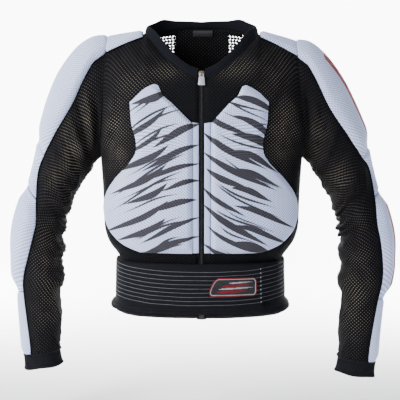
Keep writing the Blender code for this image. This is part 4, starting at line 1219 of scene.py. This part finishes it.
# The plain red stripe down the outside of the arm: its middle's angle on each side, its half width, and the arm's
# radius and a pad's length that turn angles and shares into distances
STRIPE_ANGLE = {"right": -0.32, "left": 0.35}
STRIPE_HALF_WIDTH = 0.0062
STRIPE_RADIUS, STRIPE_LENGTH = 0.045, 0.2


def make_arm_padding(side, pad):
    across = 46
    along = max(int((pad.last - pad.first) * 12), 24)

    def spans(row):
        turn = radians(row.turn) * side.turn
        return -radians(row.strip) - turn, radians(row.strip) - turn

    place = sleeve_surface(side, pad.first, pad.last, along, spans)
    bm, spots = grid(across, along, place, "stripe")
    lay_cloth(bm, spots, across, along)
    face_outward(bm, sleeve_middle((pad.first + pad.last) / 2, side))
    layer = bm.verts.layers.float["stripe"]
    for (i, j), vert in spots.items():
        low, high = spans(sleeve_row(mix(pad.first, pad.last, j / along)))
        arc = (mix(low, high, i / across) - STRIPE_ANGLE[side.name]) * STRIPE_RADIUS
        past_end = max(pad.stripe_from - j / along, j / along - pad.stripe_to, 0.0) * STRIPE_LENGTH
        vert[layer] = sqrt(arc**2 + past_end**2) - STRIPE_HALF_WIDTH
    for end, label in ((0, "back"), (across, "front")):
        line = [spots[end, j].co + spots[end, j].normal * 0.0016 for j in range(along + 1)]
        add_tube(f"{pad.node}_binding_{label}_{side.name}", line, PIPING_RADIUS, PIPING)
    names = f"{pad.name}_{side.name}", f"{pad.node}_{side.name}"
    add_padding(*names, bm, spots, (across, along), pad.padding, pad.rounding, WHITE_MESH, pad.fill)


# The cuff's section: how far down, as a share of its length, and how far in
CuffSpot = namedtuple("CuffSpot", "down inset")
CUFF_SECTION = [
    CuffSpot(0.00, 0.0000),
    CuffSpot(0.04, -0.0002),
    CuffSpot(0.09, 0.0002),
    CuffSpot(0.12, 0.0008),
    CuffSpot(0.15, 0.0002),
    CuffSpot(0.22, -0.0003),
    CuffSpot(0.35, -0.0004),
    CuffSpot(0.50, -0.0004),
    CuffSpot(0.65, -0.0003),
    CuffSpot(0.80, 0.0000),
    CuffSpot(0.86, -0.0004),
    CuffSpot(0.92, -0.0008),
    CuffSpot(0.97, -0.0006),
    CuffSpot(1.00, 0.0004),
    CuffSpot(1.01, 0.0016),
    CuffSpot(0.99, 0.0026),
    CuffSpot(0.94, 0.0031),
    CuffSpot(0.60, 0.0030),
    CuffSpot(0.25, 0.0030),
    CuffSpot(0.00, 0.0030),
    CuffSpot(-0.02, 0.0015),
    CuffSpot(0.00, 0.0000),
]


def make_cuff(side):
    """A doubled band of rib knit, closed over its lower edge."""
    across, along = 224, len(CUFF_SECTION) - 1
    outer, under = sleeve_edges(sleeve_row(len(SLEEVE) - 1), side)
    outward = (outer - under).normalized()
    middle = (outer + under) / 2 + outward * CUFF_OUTSET
    half = (outer - under) / 2 + outward * CUFF_OUTSET
    down = Vector((half.z, 0, -half.x)).normalized()
    last = SLEEVE[-1]

    def place(u, v):
        angle = 2 * pi * u
        spot = CUFF_SECTION[round(v * along)]
        share = clamp(spot.down)
        flare = mix(0.985, 1.02, share) - 0.045 * sin(pi * clamp(share * 1.1))
        flare += 0.010 * sin(3 * angle + 1.0) * share
        inset = spot.inset - 0.0003 * cos(72 * angle) * (1.0 if spot.inset < 0.001 else 0.0)
        point = middle + half * (cos(angle) * (flare - inset / half.length))
        point += down * (CUFF_LENGTH * spot.down + 0.0009 * sin(4 * angle + side.sign) * share + 0.0006)
        depth = SLEEVE_HALF_DEPTH * last.depth * flare - inset
        point.y = SLEEVE_HALF_DEPTH * last.back - depth * sin(angle)
        point.x *= side.sign
        return point

    bm, spots = grid(across, along, place)
    lay_cloth(bm, spots, across, along)
    bmesh.ops.remove_doubles(bm, verts=bm.verts, dist=1e-6)
    bmesh.ops.recalc_face_normals(bm, faces=bm.faces)
    obj = add_piece(f"cuff_knit_{side.name}", bm, [CUFF_KNIT], [f"cuff_{side.name}"])


def make_sleeve_seams(side):
    """The sewn seams round the armhole, down the side and round the cuff's top."""
    top_edges = sleeve_edges(SLEEVE[0], side)
    ring = [sleeve_point(SLEEVE[0], top_edges, 2 * pi * k / 160, side) for k in range(160)]
    add_tube(f"armhole_seam_{side.name}", ring, SEAM_RADIUS, PIPING, closed=True)
    levels = [mix(BELT_TOP, -ARMPIT_DROP, k / 60) for k in range(61)]
    line = [Vector((side.sign * (body_size(level)[0] + 0.0002), 0, level)) for level in levels]
    add_tube(f"side_seam_{side.name}", line, SEAM_RADIUS, PIPING)
    last = sleeve_row(len(SLEEVE) - 1)
    low_edges = sleeve_edges(last, side)
    ring = [sleeve_point(last, low_edges, 2 * pi * k / 120, side) for k in range(120)]
    add_tube(f"cuff_seam_{side.name}", ring, SEAM_RADIUS + 0.0003, PIPING, closed=True)


COLLAR_START = asin((FRONT_EDGE + SEAM_GAP) / NECK_HALF_WIDTH)

# The collar's section from its foot up the outside, over the top and down the inside: share of the height, and in
CollarSpot = namedtuple("CollarSpot", "share inset")
COLLAR_SECTION = [
    CollarSpot(-0.06, 0.0004),
    CollarSpot(0.04, -0.0001),
    CollarSpot(0.10, 0.0003),
    CollarSpot(0.16, -0.0002),
    CollarSpot(0.35, -0.0006),
    CollarSpot(0.55, -0.0006),
    CollarSpot(0.75, -0.0003),
    CollarSpot(0.90, 0.0000),
    CollarSpot(0.97, 0.0005),
    CollarSpot(1.00, 0.0015),
    CollarSpot(0.97, 0.0025),
    CollarSpot(0.88, 0.0030),
    CollarSpot(0.80, 0.0026),
    CollarSpot(0.72, 0.0031),
    CollarSpot(0.50, 0.0033),
    CollarSpot(0.25, 0.0031),
    CollarSpot(0.04, 0.0028),
    CollarSpot(-0.06, 0.0018),
    CollarSpot(-0.06, 0.0004),
]


def make_collar():
    """The stand collar: a doubled band whose front ends are closed."""
    stations, count = 260, len(COLLAR_SECTION) - 1

    def place(u, v):
        spot = COLLAR_SECTION[round(u * count)]
        side = SIDES[0] if v < 0.5 else SIDES[1]
        angle = mix(pi, COLLAR_START, abs(2 * v - 1))
        point = collar_point(angle, spot.share, side)
        point -= Vector((sin(angle), -cos(angle), 0)) * spot.inset
        point.x *= side.sign
        point += Vector((0, 0, 0.0005 * noise.noise(point * 20.0)))
        return point

    bm, spots = grid(count, stations, place)
    lay_cloth(bm, spots, count, stations, 0.0)
    bmesh.ops.remove_doubles(bm, verts=bm.verts, dist=1e-6)
    bmesh.ops.holes_fill(bm, edges=[edge for edge in bm.edges if edge.is_boundary])
    bmesh.ops.recalc_face_normals(bm, faces=bm.faces)
    obj = add_piece("collar_band", bm, [COLLAR_KNIT], ["collar"])
    angles = [mix(COLLAR_START, pi, k / 100) for k in range(101)]
    for side in SIDES:
        foot = [collar_point(angle, -0.10, side) for angle in angles]
        foot = [Vector((point.x * side.sign, point.y, point.z)) for point in foot]
        add_tube(f"neck_seam_{side.name}", foot, SEAM_RADIUS + 0.0003, PIPING)
        line = [collar_point(angle, 0.13, side) for angle in angles]
        line = [Vector((point.x * side.sign, point.y - 0.0002, point.z)) for point in line]
        add_stitches(f"neck_stitches_{side.name}", line, NECK_STITCH, THREAD)


# The grey lines of the belt: the lowest one's height at the front, how far apart they lie and half their height
LINE_LOWEST, LINE_PITCH, LINE_HALF = -0.5092, 0.0080, 0.0004
BELT_LINES = 9
# How far the lines climb towards the side of the waist
LINE_CLIMB = 0.0105

BeltSpot = namedtuple("BeltSpot", "out z is_line climbs")


def belt_section(lowest):
    """The belt's section from its lower edge up the outside, over the top and down the inside."""
    bottom = lowest - BODY_LENGTH
    section = []
    for step in range(9):
        z = mix(bottom, LINE_LOWEST - 0.0022, step / 8)
        rolled = 0.0012 * exp(-(((z - bottom - 0.0045) / 0.0030) ** 2))
        section.append(BeltSpot(BELT_WALL + rolled, z, False, step / 8))
    for line in range(BELT_LINES):
        z = LINE_LOWEST + LINE_PITCH * line
        section.append(BeltSpot(BELT_WALL - 0.0001, z - LINE_HALF - 0.0004, False, 1.0))
        section.append(BeltSpot(BELT_WALL + 0.0002, z - LINE_HALF, True, 1.0))
        section.append(BeltSpot(BELT_WALL + 0.0006, z, True, 1.0))
        section.append(BeltSpot(BELT_WALL + 0.0002, z + LINE_HALF, False, 1.0))
        section.append(BeltSpot(BELT_WALL - 0.0001, z + LINE_HALF + 0.0004, False, 1.0))
        if line < BELT_LINES - 1:
            section.append(BeltSpot(BELT_WALL + 0.0008, z + 0.35 * LINE_PITCH, False, 1.0))
            section.append(BeltSpot(BELT_WALL + 0.0008, z + 0.65 * LINE_PITCH, False, 1.0))
    section.append(BeltSpot(BELT_WALL + 0.0006, BELT_TOP - 0.0040, False, 0.3))
    section.append(BeltSpot(BELT_WALL + 0.0002, BELT_TOP - 0.0014, False, 0.0))
    section.append(BeltSpot(BELT_WALL * 0.5, BELT_TOP, False, 0.0))
    section.append(BeltSpot(0.0003, BELT_TOP - 0.0012, False, 0.0))
    for step in range(8):
        section.append(BeltSpot(0.0, mix(BELT_TOP - 0.020, bottom + 0.0015, step / 7), False, 0.0))
    section.append(BeltSpot(BELT_WALL * 0.4, bottom - 0.0002, False, 0.0))
    return section


def line_climb(angle):
    return LINE_CLIMB * abs(sin(angle)) ** (5 / BODY_ROUNDNESS)


def sweep_belt(name, start, end, stations, lift, lowest, node):
    """Sweeps the belt's section round from one angle to another. The faces of its lines are grey."""
    section = belt_section(lowest)
    count = len(section)

    def place(u, v):
        spot = section[round(u * count) % count]
        angle = mix(start, end, v)
        wave = Vector((cos(angle) * 6, sin(angle) * 6, spot.z * 30 + lift * 500))
        outside = spot.out > 0.001
        out = spot.out + lift + 0.0006 * noise.noise(wave) * outside
        z = spot.z + spot.climbs * line_climb(angle)
        z += 0.0007 * noise.noise(wave * 0.8 + Vector((9, 0, 0))) * outside
        return belt_point(angle, out, z)

    bm, spots = grid(count, stations, place)
    lay_cloth(bm, spots, count, stations, 0.0)
    for i, j in spots:
        if j < stations and section[i % count].is_line:
            face_above(spots, i, j).material_index = 1
    bmesh.ops.remove_doubles(bm, verts=bm.verts, dist=1e-6)
    bmesh.ops.holes_fill(bm, edges=[edge for edge in bm.edges if edge.is_boundary])
    bmesh.ops.recalc_face_normals(bm, faces=bm.faces)
    return add_piece(name, bm, [ELASTIC, ELASTIC_LINE], [node])


def belt_angle(x):
    half_width = belt_size(BELT_TOP)[0] + BELT_WALL
    return asin((x / half_width) ** (BODY_ROUNDNESS / 2))


def make_belt():
    gap_angle = belt_angle(FRONT_EDGE)
    band = sweep_belt("belt_band_elastic", gap_angle, 2 * pi - gap_angle, 340, 0.0, 0.0, "belt_band")
    lift = BELT_WALL + BELT_LAYER_GAP
    end = belt_angle(FLAP_REACH)
    flap = sweep_belt("belt_flap_elastic", -radians(100), end, 200, lift, FLAP_EDGE_RAISE, "belt_flap")
    out = lift + BELT_WALL + 0.0008
    tacks = bmesh.new()
    for line in range(BELT_LINES):
        z = LINE_LOWEST + LINE_PITCH * line
        middle = belt_point(end - 0.022, out, z + line_climb(end))
        matrix = Matrix.Translation(middle) @ Matrix.Diagonal((0.0009, 0.0005, 0.0017, 1.0))
        bmesh.ops.create_icosphere(tacks, subdivisions=2, radius=1.0, matrix=matrix)
    add_piece("flap_bar_tacks", tacks, [GREY_THREAD], [])
    low = FLAP_EDGE_RAISE - BODY_LENGTH
    for label, inset in (("outer", 0.010), ("inner", 0.075)):
        line = [belt_point(end - inset, out - 0.0001, mix(low + 0.003, BELT_TOP - 0.003, k / 60)) for k in range(61)]
        add_stitches(f"flap_end_stitches_{label}", line, FLAP_END_STITCH, THREAD)
    line = [belt_point(mix(-radians(98), end - 0.02, k / 200), out + 0.0002, low + 0.0085) for k in range(201)]
    add_stitches("flap_hem_stitches", line, HEM_STITCH, THREAD)
    for label, side_sign in (("right", -1), ("left", 1)):
        first = gap_angle if side_sign > 0 else -gap_angle
        points = [mix(first, side_sign * pi, k / 200) for k in range(201)]
        line = [belt_point(angle, BELT_WALL + 0.0008, 0.0195 - BODY_LENGTH) for angle in points]
        add_stitches(f"hem_stitches_{label}", line, HEM_STITCH, THREAD)
        line = [belt_point(angle, BELT_WALL + 0.0002, BELT_TOP - 0.0022) for angle in points]
        add_stitches(f"belt_top_stitches_{label}", line, HEM_STITCH, THREAD)


# The badge on the front view: its corners, how round they are, and how far in its red rim and its pale line reach
BADGE_LOW, BADGE_HIGH = -0.4915, -0.4565
BADGE_LEFT_LOW, BADGE_LEFT_HIGH, BADGE_RIGHT = 0.013, 0.027, 0.101
BADGE_CORNER, BADGE_RIM, BADGE_LINE = 0.009, 0.0017, 0.0023

# The plain bars on the badge, as shares of its height and length, and their material
BadgeBar = namedtuple("BadgeBar", "middle half_width start end finish")
BADGE_BARS = [
    BadgeBar(0.22, 0.060, 0.16, 0.80, 1),
    BadgeBar(0.38, 0.030, 0.20, 0.95, 2),
    BadgeBar(0.53, 0.050, 0.26, 0.88, 1),
    BadgeBar(0.68, 0.025, 0.40, 0.92, 2),
]


def make_badge():
    """A moulded badge with a slanted end and a red rim, and plain slanted bars on it."""
    across, along = 150, 70

    def corner_inset(v):
        near = min(v, 1 - v) * (BADGE_HIGH - BADGE_LOW)
        t = clamp(1 - near / BADGE_CORNER)
        return BADGE_CORNER * (1 - sqrt(1 - t * t))

    def edges(v):
        inset = corner_inset(v)
        return mix(BADGE_LEFT_LOW, BADGE_LEFT_HIGH, v**1.8) + inset, BADGE_RIGHT - inset

    def rim_distance(u, v):
        left, right = edges(v)
        x = mix(left, right, u)
        return min(x - left, right - x, v * (BADGE_HIGH - BADGE_LOW), (1 - v) * (BADGE_HIGH - BADGE_LOW))

    def finish_of(u, v):
        """Which material lies here: 0 the rubber, 1 red, 2 pale grey."""
        near = rim_distance(u, v)
        if near < BADGE_LINE:
            return 1 if near < BADGE_RIM else 2
        left, right = edges(v)
        for bar in BADGE_BARS:
            along_bar = (mix(left, right, u) - BADGE_LEFT_LOW) / (BADGE_RIGHT - BADGE_LEFT_LOW)
            along_bar -= 0.22 * (v - bar.middle)
            taper = clamp((along_bar - bar.start) / 0.10) * clamp((bar.end - along_bar) / 0.30)
            if abs(v - bar.middle - 0.10 * along_bar) < bar.half_width * taper:
                return bar.finish
        return 0

    def place(u, v):
        left, right = edges(v)
        near = rim_distance(u, v)
        raised = 0.0006 * (finish_of(u, v) > 0) - 0.0005 * ease(1 - near / 0.0008)
        lift = BELT_WALL + BELT_LAYER_GAP + BELT_WALL + 0.0012
        return belt_point(belt_angle(mix(left, right, u)), lift + raised, mix(BADGE_LOW, BADGE_HIGH, v))

    def spread(count):
        """Shares with more rows near both ends, so that the rim has its own."""
        return [0.5 - 0.5 * cos(pi * k / count) for k in range(count + 1)]

    columns, rows = spread(across), spread(along)
    bm, spots = grid(across, along, lambda u, v: place(columns[round(u * across)], rows[round(v * along)]))
    lay_cloth(bm, spots, across, along, 0.0)
    face_outward(bm, Vector((0, 0, BADGE_LOW)))
    for i in range(across):
        for j in range(along):
            finish = finish_of((columns[i] + columns[i + 1]) / 2, (rows[j] + rows[j + 1]) / 2)
            face_above(spots, i, j).material_index = finish
    obj = add_piece("badge_plate", bm, [BADGE_RUBBER, BADGE_EDGE, GREY_THREAD], ["belt_badge"])
    add_wall(obj, 0.0014, outward=True)


# The rows that the solids' zip has above the yoke line
YOKE_RISES = [0.15, 0.32, 0.55, 0.78, 0.95]


def zip_line(fine):
    """Points down the middle of the front from the collar's top to the hem. Fine follows the cloth closely."""
    side = SIDES[0]
    top, foot = collar_point(0.0, 1.0, side), collar_point(0.0, 0.0, side)
    path = [Vector((0, top.y, top.z - ZIP_TOP_INSET)), Vector((0, foot.y, foot.z))]
    if fine:
        levels = [1.0 + 0.90 * (1 - k / 12) for k in range(12)]
        levels += [mix(-YOKE_DROP, BELT_TOP + 0.006, k / 90) for k in range(91)]
    else:
        heights = [body_height(row.height) for row in BODY]
        levels = list(reversed(heights + [1.0 + rise for rise in YOKE_RISES]))
    for level in levels:
        point = body_point(0.0, level, side, True)
        if path[-1].z - point.z > (0.001 if fine else ZIP_STEP) and point.z - BELT_TOP > ZIP_STEP:
            path.append(point)
    zip_end = END_BOX_HEIGHT + RUN_GAP
    heights = [BELT_HEM * row.height for row in reversed(HEM) if BELT_HEM * row.height > zip_end]
    for height in [BELT_HEIGHT] + heights + [zip_end]:
        path.append(belt_point(0.0, BELT_WALL, height - BODY_LENGTH))
    return path


def slope_between(low, high):
    """The direction from one point of the zip up to another, and how far it leans back."""
    upward = (high - low).normalized()
    return upward, atan2(-upward.y, upward.z)


def place_along(bm, middle, lean):
    bmesh.ops.transform(bm, matrix=Matrix.Translation(middle) @ Matrix.Rotation(lean, 4, "X"), verts=bm.verts)


def make_zip_tape(side, path):
    along = len(path) - 1

    def place(u, v):
        x = side.sign * mix(0.0003, FRONT_EDGE + 0.0006, u)
        return path[round(v * along)] + Vector((x, 0.0004 - 0.0003 * sin(pi * u), 0))

    bm, spots = grid(3, along, place)
    lay_cloth(bm, spots, 3, along, 0.0)
    face_outward(bm, BODY_MIDDLE)
    tape = add_piece(f"zip_tape_cloth_{side.name}", bm, [ZIP_TAPE], [f"zip_tape_{side.name}"])
    add_wall(tape, 0.0011)


# How far apart the turns of the zip's coil lie. The two halves mesh, so one starts half a turn on.
COIL_PITCH = 0.0020


def make_zip_coil(path):
    coil = bmesh.new()
    for sign, start in ((-1, 0.0), (1, COIL_PITCH / 2)):
        for middle, direction in even_points(path, COIL_PITCH):
            slope = atan2(-direction.y, direction.z)
            tooth = Matrix.Translation(middle + direction * start + Vector((sign * 0.00095, -0.0009, 0)))
            tooth = tooth @ Matrix.Rotation(slope, 4, "X") @ Matrix.Diagonal((0.00125, 0.0009, 0.0007, 1.0))
            bmesh.ops.create_icosphere(coil, subdivisions=2, radius=1.0, matrix=tooth)
    add_piece("zip_coil", coil, [COIL], ["zip_chain"])


def round_corners(corners, radius, steps=5):
    """An outline of (x, z) points with its corners rounded off."""
    outline = []
    for k, corner in enumerate(corners):
        here = Vector(corner)
        before, after = Vector(corners[k - 1]) - here, Vector(corners[(k + 1) % len(corners)]) - here
        reach = min(radius, before.length * 0.45, after.length * 0.45)
        start, end = here + before.normalized() * reach, here + after.normalized() * reach
        for step in range(steps + 1):
            t = step / steps
            point = start * (1 - t) ** 2 + here * (2 * t * (1 - t)) + end * t**2
            outline.append((point.x, point.y))
    return outline


def four_corners(half_low, half_high, low, high):
    """The corners of a plate that is even about its middle and may be wider at one end."""
    return [(-half_high, high), (half_high, high), (half_low, low), (-half_low, low)]


def plate_mesh(outline, thickness, edge, hole=None):
    """A flat plate with softened edges, centred on its thickness. A hole has as many points as the outline."""
    bm = bmesh.new()
    rim = [bm.verts.new((x, thickness / 2, z)) for x, z in outline]
    if hole:
        inner = [bm.verts.new((x, thickness / 2, z)) for x, z in hole]
        for k in range(len(rim)):
            after = (k + 1) % len(rim)
            bm.faces.new((rim[k], rim[after], inner[after], inner[k]))
    else:
        bm.faces.new(rim)
    moved = bmesh.ops.extrude_face_region(bm, geom=bm.faces[:])["geom"]
    moved = [item for item in moved if isinstance(item, bmesh.types.BMVert)]
    bmesh.ops.translate(bm, vec=(0, -thickness, 0), verts=moved)
    bmesh.ops.recalc_face_normals(bm, faces=bm.faces)
    sharp = [item for item in bm.edges if item.calc_face_angle(0.0) > radians(60)]
    bmesh.ops.bevel(
        bm, geom=sharp, offset=edge, offset_type="OFFSET", segments=3, profile=0.5, affect="EDGES", material=-1
    )
    return bm


def join_meshes(target, other):
    """Adds the other mesh's geometry to the target."""
    mesh = bpy.data.meshes.new("joined")
    other.to_mesh(mesh)
    other.free()
    target.from_mesh(mesh)
    bpy.data.meshes.remove(mesh)


def make_slider():
    """The zip's slider: a shaped plate with side flanges and a bridge for the puller."""
    path = zip_line(False)
    upward, lean = slope_between(path[1], path[0])
    forward = Vector((0, -upward.z, upward.y))
    middle = path[1] + upward * SLIDER_RAISE + forward * (CHAIN_PROUD + RUN_GAP)
    half, end = 0.0059, 0.0070
    outline = [(-half, 0.55 * end), (-0.62 * half, end), (-0.18 * half, 0.80 * end), (0.18 * half, 0.80 * end)]
    outline += [(0.62 * half, end), (half, 0.55 * end), (0.78 * half, -end), (-0.78 * half, -end)]
    body = plate_mesh(round_corners(outline, 0.0022), SLIDER_PLATE, 0.0006)
    bmesh.ops.translate(body, vec=(0, -SLIDER_PLATE / 2, 0), verts=body.verts)
    ridge_corners = four_corners(0.0028, 0.0034, -0.0050, 0.0040)
    ridge = plate_mesh(round_corners(ridge_corners, 0.0016), 0.0007, 0.0003)
    bmesh.ops.translate(ridge, vec=(0, -SLIDER_PLATE - 0.0002, 0), verts=ridge.verts)
    join_meshes(body, ridge)
    low, high, wall = SLIDER_PLATE - 0.0002, SLIDER_PLATE + 0.0026 + 0.0014, 0.0014
    reach = 0.0050
    arch = [(-reach, low), (-reach, high - 0.0008), (-0.0036, high), (0.0036, high), (reach, high - 0.0008)]
    arch += [(reach, low), (reach - wall, low), (reach - wall, high - wall), (-reach + wall, high - wall)]
    arch += [(-reach + wall, low)]
    bridge = plate_mesh(round_corners(arch, 0.0009, 3), 0.0028, 0.0004)
    turn = Matrix(((0, 1, 0, 0), (0, 0, -1, 0), (1, 0, 0, 0), (0, 0, 0, 1)))
    bmesh.ops.transform(bridge, matrix=turn, verts=bridge.verts)
    bmesh.ops.recalc_face_normals(bridge, faces=bridge.faces)
    join_meshes(body, bridge)
    place_along(body, middle, lean)
    add_piece("zip_slider_body", body, [CAST_ZINC], ["zip_slider"])
    return middle, lean, slope_between(path[3], path[1])[1]


def make_puller(middle, lean, hang):
    """The puller: a tab with a hole at its top, hung from its own bar under the slider's bridge."""
    bar, room, leg, half = 0.0009, 0.0024, 0.0040, 0.0066
    outline = [(-leg, bar), (-leg, -0.0060), (-half * 0.82, -0.0082), (-half, -0.0240)]
    outline += [(half, -0.0240), (half * 0.82, -0.0082), (leg, -0.0060), (leg, bar)]
    hole = [(-room, -bar), (-room, -0.0030), (-room, -0.0052), (-0.0010, -0.0060)]
    hole += [(0.0010, -0.0060), (room, -0.0052), (room, -0.0030), (room, -bar)]
    bm = plate_mesh(round_corners(outline, 0.0016), 0.0018, 0.0004, round_corners(hole, 0.0003))
    pad_corners = [(-half * 0.62, -0.0110), (-half * 0.76, -0.0220), (half * 0.76, -0.0220), (half * 0.62, -0.0110)]
    panel = plate_mesh(round_corners(pad_corners, 0.0014), 0.0022, 0.0003)
    join_meshes(bm, panel)
    pivot = middle + Matrix.Rotation(lean, 3, "X") @ Vector((0, -SLIDER_PLATE - 0.0013, 0))
    place_along(bm, pivot, hang)
    add_piece("zip_puller_tab", bm, [PULLER_METAL], ["zip_puller"], body="puller")


# Half the width of the box at the zip's lower end and of the stiffened tape behind it, and how far out the two raised
# steps beside its slot lie, which are half as wide as that on each side of their middles
END_BOX_HALF, END_TAPE_HALF, END_STEP = 0.0049, 0.0092, 0.0026


def make_end_box():
    """The metal box at the zip's lower end, with the slot that its pin goes into, on the tapes' stiffened ends."""
    top = belt_point(0.0, BELT_WALL, END_BOX_HEIGHT - BODY_LENGTH)
    low = -END_BOX_HEIGHT
    bm = plate_mesh(round_corners(four_corners(END_BOX_HALF, END_BOX_HALF, low, 0.0), 0.0008), 0.0024, 0.0004)
    for x in (-END_STEP, END_STEP):
        left, right = x - END_STEP / 2, x + END_STEP / 2
        corners = [(left, -0.0012), (right, -0.0012), (right, low + 0.0012), (left, low + 0.0012)]
        join_meshes(bm, plate_mesh(round_corners(corners, 0.0004), 0.0030, 0.0003))
    bmesh.ops.translate(bm, vec=(0, top.y - CHAIN_PROUD + 0.0012, top.z), verts=bm.verts)
    add_piece("zip_end_piece", bm, [END_METAL], ["zip_end_box"])
    tape_corners = four_corners(END_TAPE_HALF, END_TAPE_HALF, low + 0.0006, 0.0)
    bm = plate_mesh(round_corners(tape_corners, 0.0006), 0.0006, 0.0002)
    bmesh.ops.translate(bm, vec=(0, top.y + 0.0004, top.z), verts=bm.verts)
    add_piece("zip_end_tape", bm, [COLLAR_KNIT], [])


def make_label():
    """A plain satin label sewn inside the back of the neck."""
    across, along = 24, 10

    def place(u, v):
        x = mix(-0.017, 0.023, u)
        z = mix(0.0115, 0.0240, v)
        rise = (z + YOKE_DROP) / (top_edge(x, SIDES[1], False)[1] + YOKE_DROP)
        point = body_point(x, 1.0 + rise, SIDES[1], False)
        return point - Vector((0, NET_WALL + 0.0006 + 0.0012 * sin(pi * v) * (1 + 0.3 * sin(3 * u)), 0))

    bm, spots = grid(across, along, place)
    lay_cloth(bm, spots, across, along, 0.0)
    label = add_piece("neck_label", bm, [LABEL_SATIN], [])
    add_wall(label, 0.0004)


for wearer_side in SIDES:
    make_front_net(wearer_side)
    make_chest_padding(wearer_side)
    make_placket(wearer_side)
    make_shoulder_padding(wearer_side)
    make_sleeve_net(wearer_side)
    make_sleeve_seams(wearer_side)
    make_cuff(wearer_side)
    make_neck_net(wearer_side)
    for arm_pad in ARM_PADS:
        make_arm_padding(wearer_side, arm_pad)
make_back_net()
make_collar()
make_belt()
make_badge()
zip_path = zip_line(True)
for wearer_side in SIDES:
    make_zip_tape(wearer_side, zip_path)
make_zip_coil(zip_path)
make_puller(*make_slider())
make_end_box()
make_label()


def make_backdrop():
    """A pale floor that curves up behind the jacket."""
    floor_z, near, far, bend, top, half_width = -0.745, -3.5, 3.6, 1.4, 4.0, 5.0
    profile = [(near, floor_z), (0.0, floor_z), (far - bend, floor_z)]
    for step in range(1, 17):
        angle = pi / 2 * step / 16
        profile.append((far - bend + bend * sin(angle), floor_z + bend * (1 - cos(angle))))
    profile.append((far, top))
    last = len(profile) - 1

    def place(u, v):
        return Vector((mix(-half_width, half_width, u), *profile[round(v * last)]))

    bm = grid(2, last, place)[0]
    mesh = bpy.data.meshes.new("backdrop")
    bmesh.ops.recalc_face_normals(bm, faces=bm.faces)
    bm.to_mesh(mesh)
    bm.free()
    mesh.shade_smooth()
    material, _, shader = new_material("matt white paper", 0.95)
    shader.inputs["Base Color"].default_value = colour("#fbfbfd")
    mesh.materials.append(material)
    backdrop = bpy.data.objects.new("backdrop", mesh)
    bpy.context.scene.collection.objects.link(backdrop)


def add_light(name, place, target, size, power, tint):
    """A soft rectangular lamp that looks at its target, with its power in watts."""
    light = bpy.data.lights.new(name, "AREA")
    light.shape = "RECTANGLE"
    light.size, light.size_y = size
    light.energy = power
    light.color = tint
    lamp = bpy.data.objects.new(name, light)
    lamp.location = place
    lamp.rotation_euler = (Vector(target) - Vector(place)).to_track_quat("-Z", "Y").to_euler()
    bpy.context.scene.collection.objects.link(lamp)


def light_studio():
    world = bpy.data.worlds.new("studio")
    world.use_nodes = True
    surroundings = world.node_tree.nodes["Background"]
    surroundings.inputs["Color"].default_value = (0.96, 0.97, 1.0, 1.0)
    surroundings.inputs["Strength"].default_value = 0.45
    bpy.context.scene.world = world
    add_light("key", (-1.9, -1.8, 1.0), (0, 0, -0.30), (1.2, 1.4), 122.0, (1.0, 0.99, 0.97))
    add_light("fill", (2.2, -1.8, 0.1), (0, 0, -0.35), (1.6, 1.6), 8.0, (0.86, 0.90, 1.0))
    add_light("side", (-2.5, -0.3, 0.3), (-0.3, 0, -0.35), (0.8, 1.6), 34.0, (0.94, 0.97, 1.0))
    add_light("top", (0.0, 0.2, 1.7), (0, 0, -0.30), (1.6, 1.2), 8.0, (1.0, 1.0, 1.0))
    for name, x in (("backdrop_right", -1.5), ("backdrop_left", 1.5)):
        add_light(name, (x, 1.2, 0.6), (0.27 * x, 3.6, -0.4), (0.6, 2.2), 420.0, (1.0, 1.0, 1.0))


def place_camera():
    """At the height of the middle, from a little above, 2.5 m away with a long lens."""
    lens = bpy.data.cameras.new("camera")
    lens.lens = 112.5
    lens.sensor_width = 36.0
    camera = bpy.data.objects.new("camera", lens)
    middle = Vector((-0.003, 0, -0.316))
    elevation, distance = radians(5), 2.5
    camera.location = middle + Vector((0, -cos(elevation), sin(elevation))) * distance
    camera.rotation_euler = (pi / 2 - elevation, 0, 0)
    bpy.context.scene.collection.objects.link(camera)
    bpy.context.scene.camera = camera


make_backdrop()
light_studio()
place_camera()
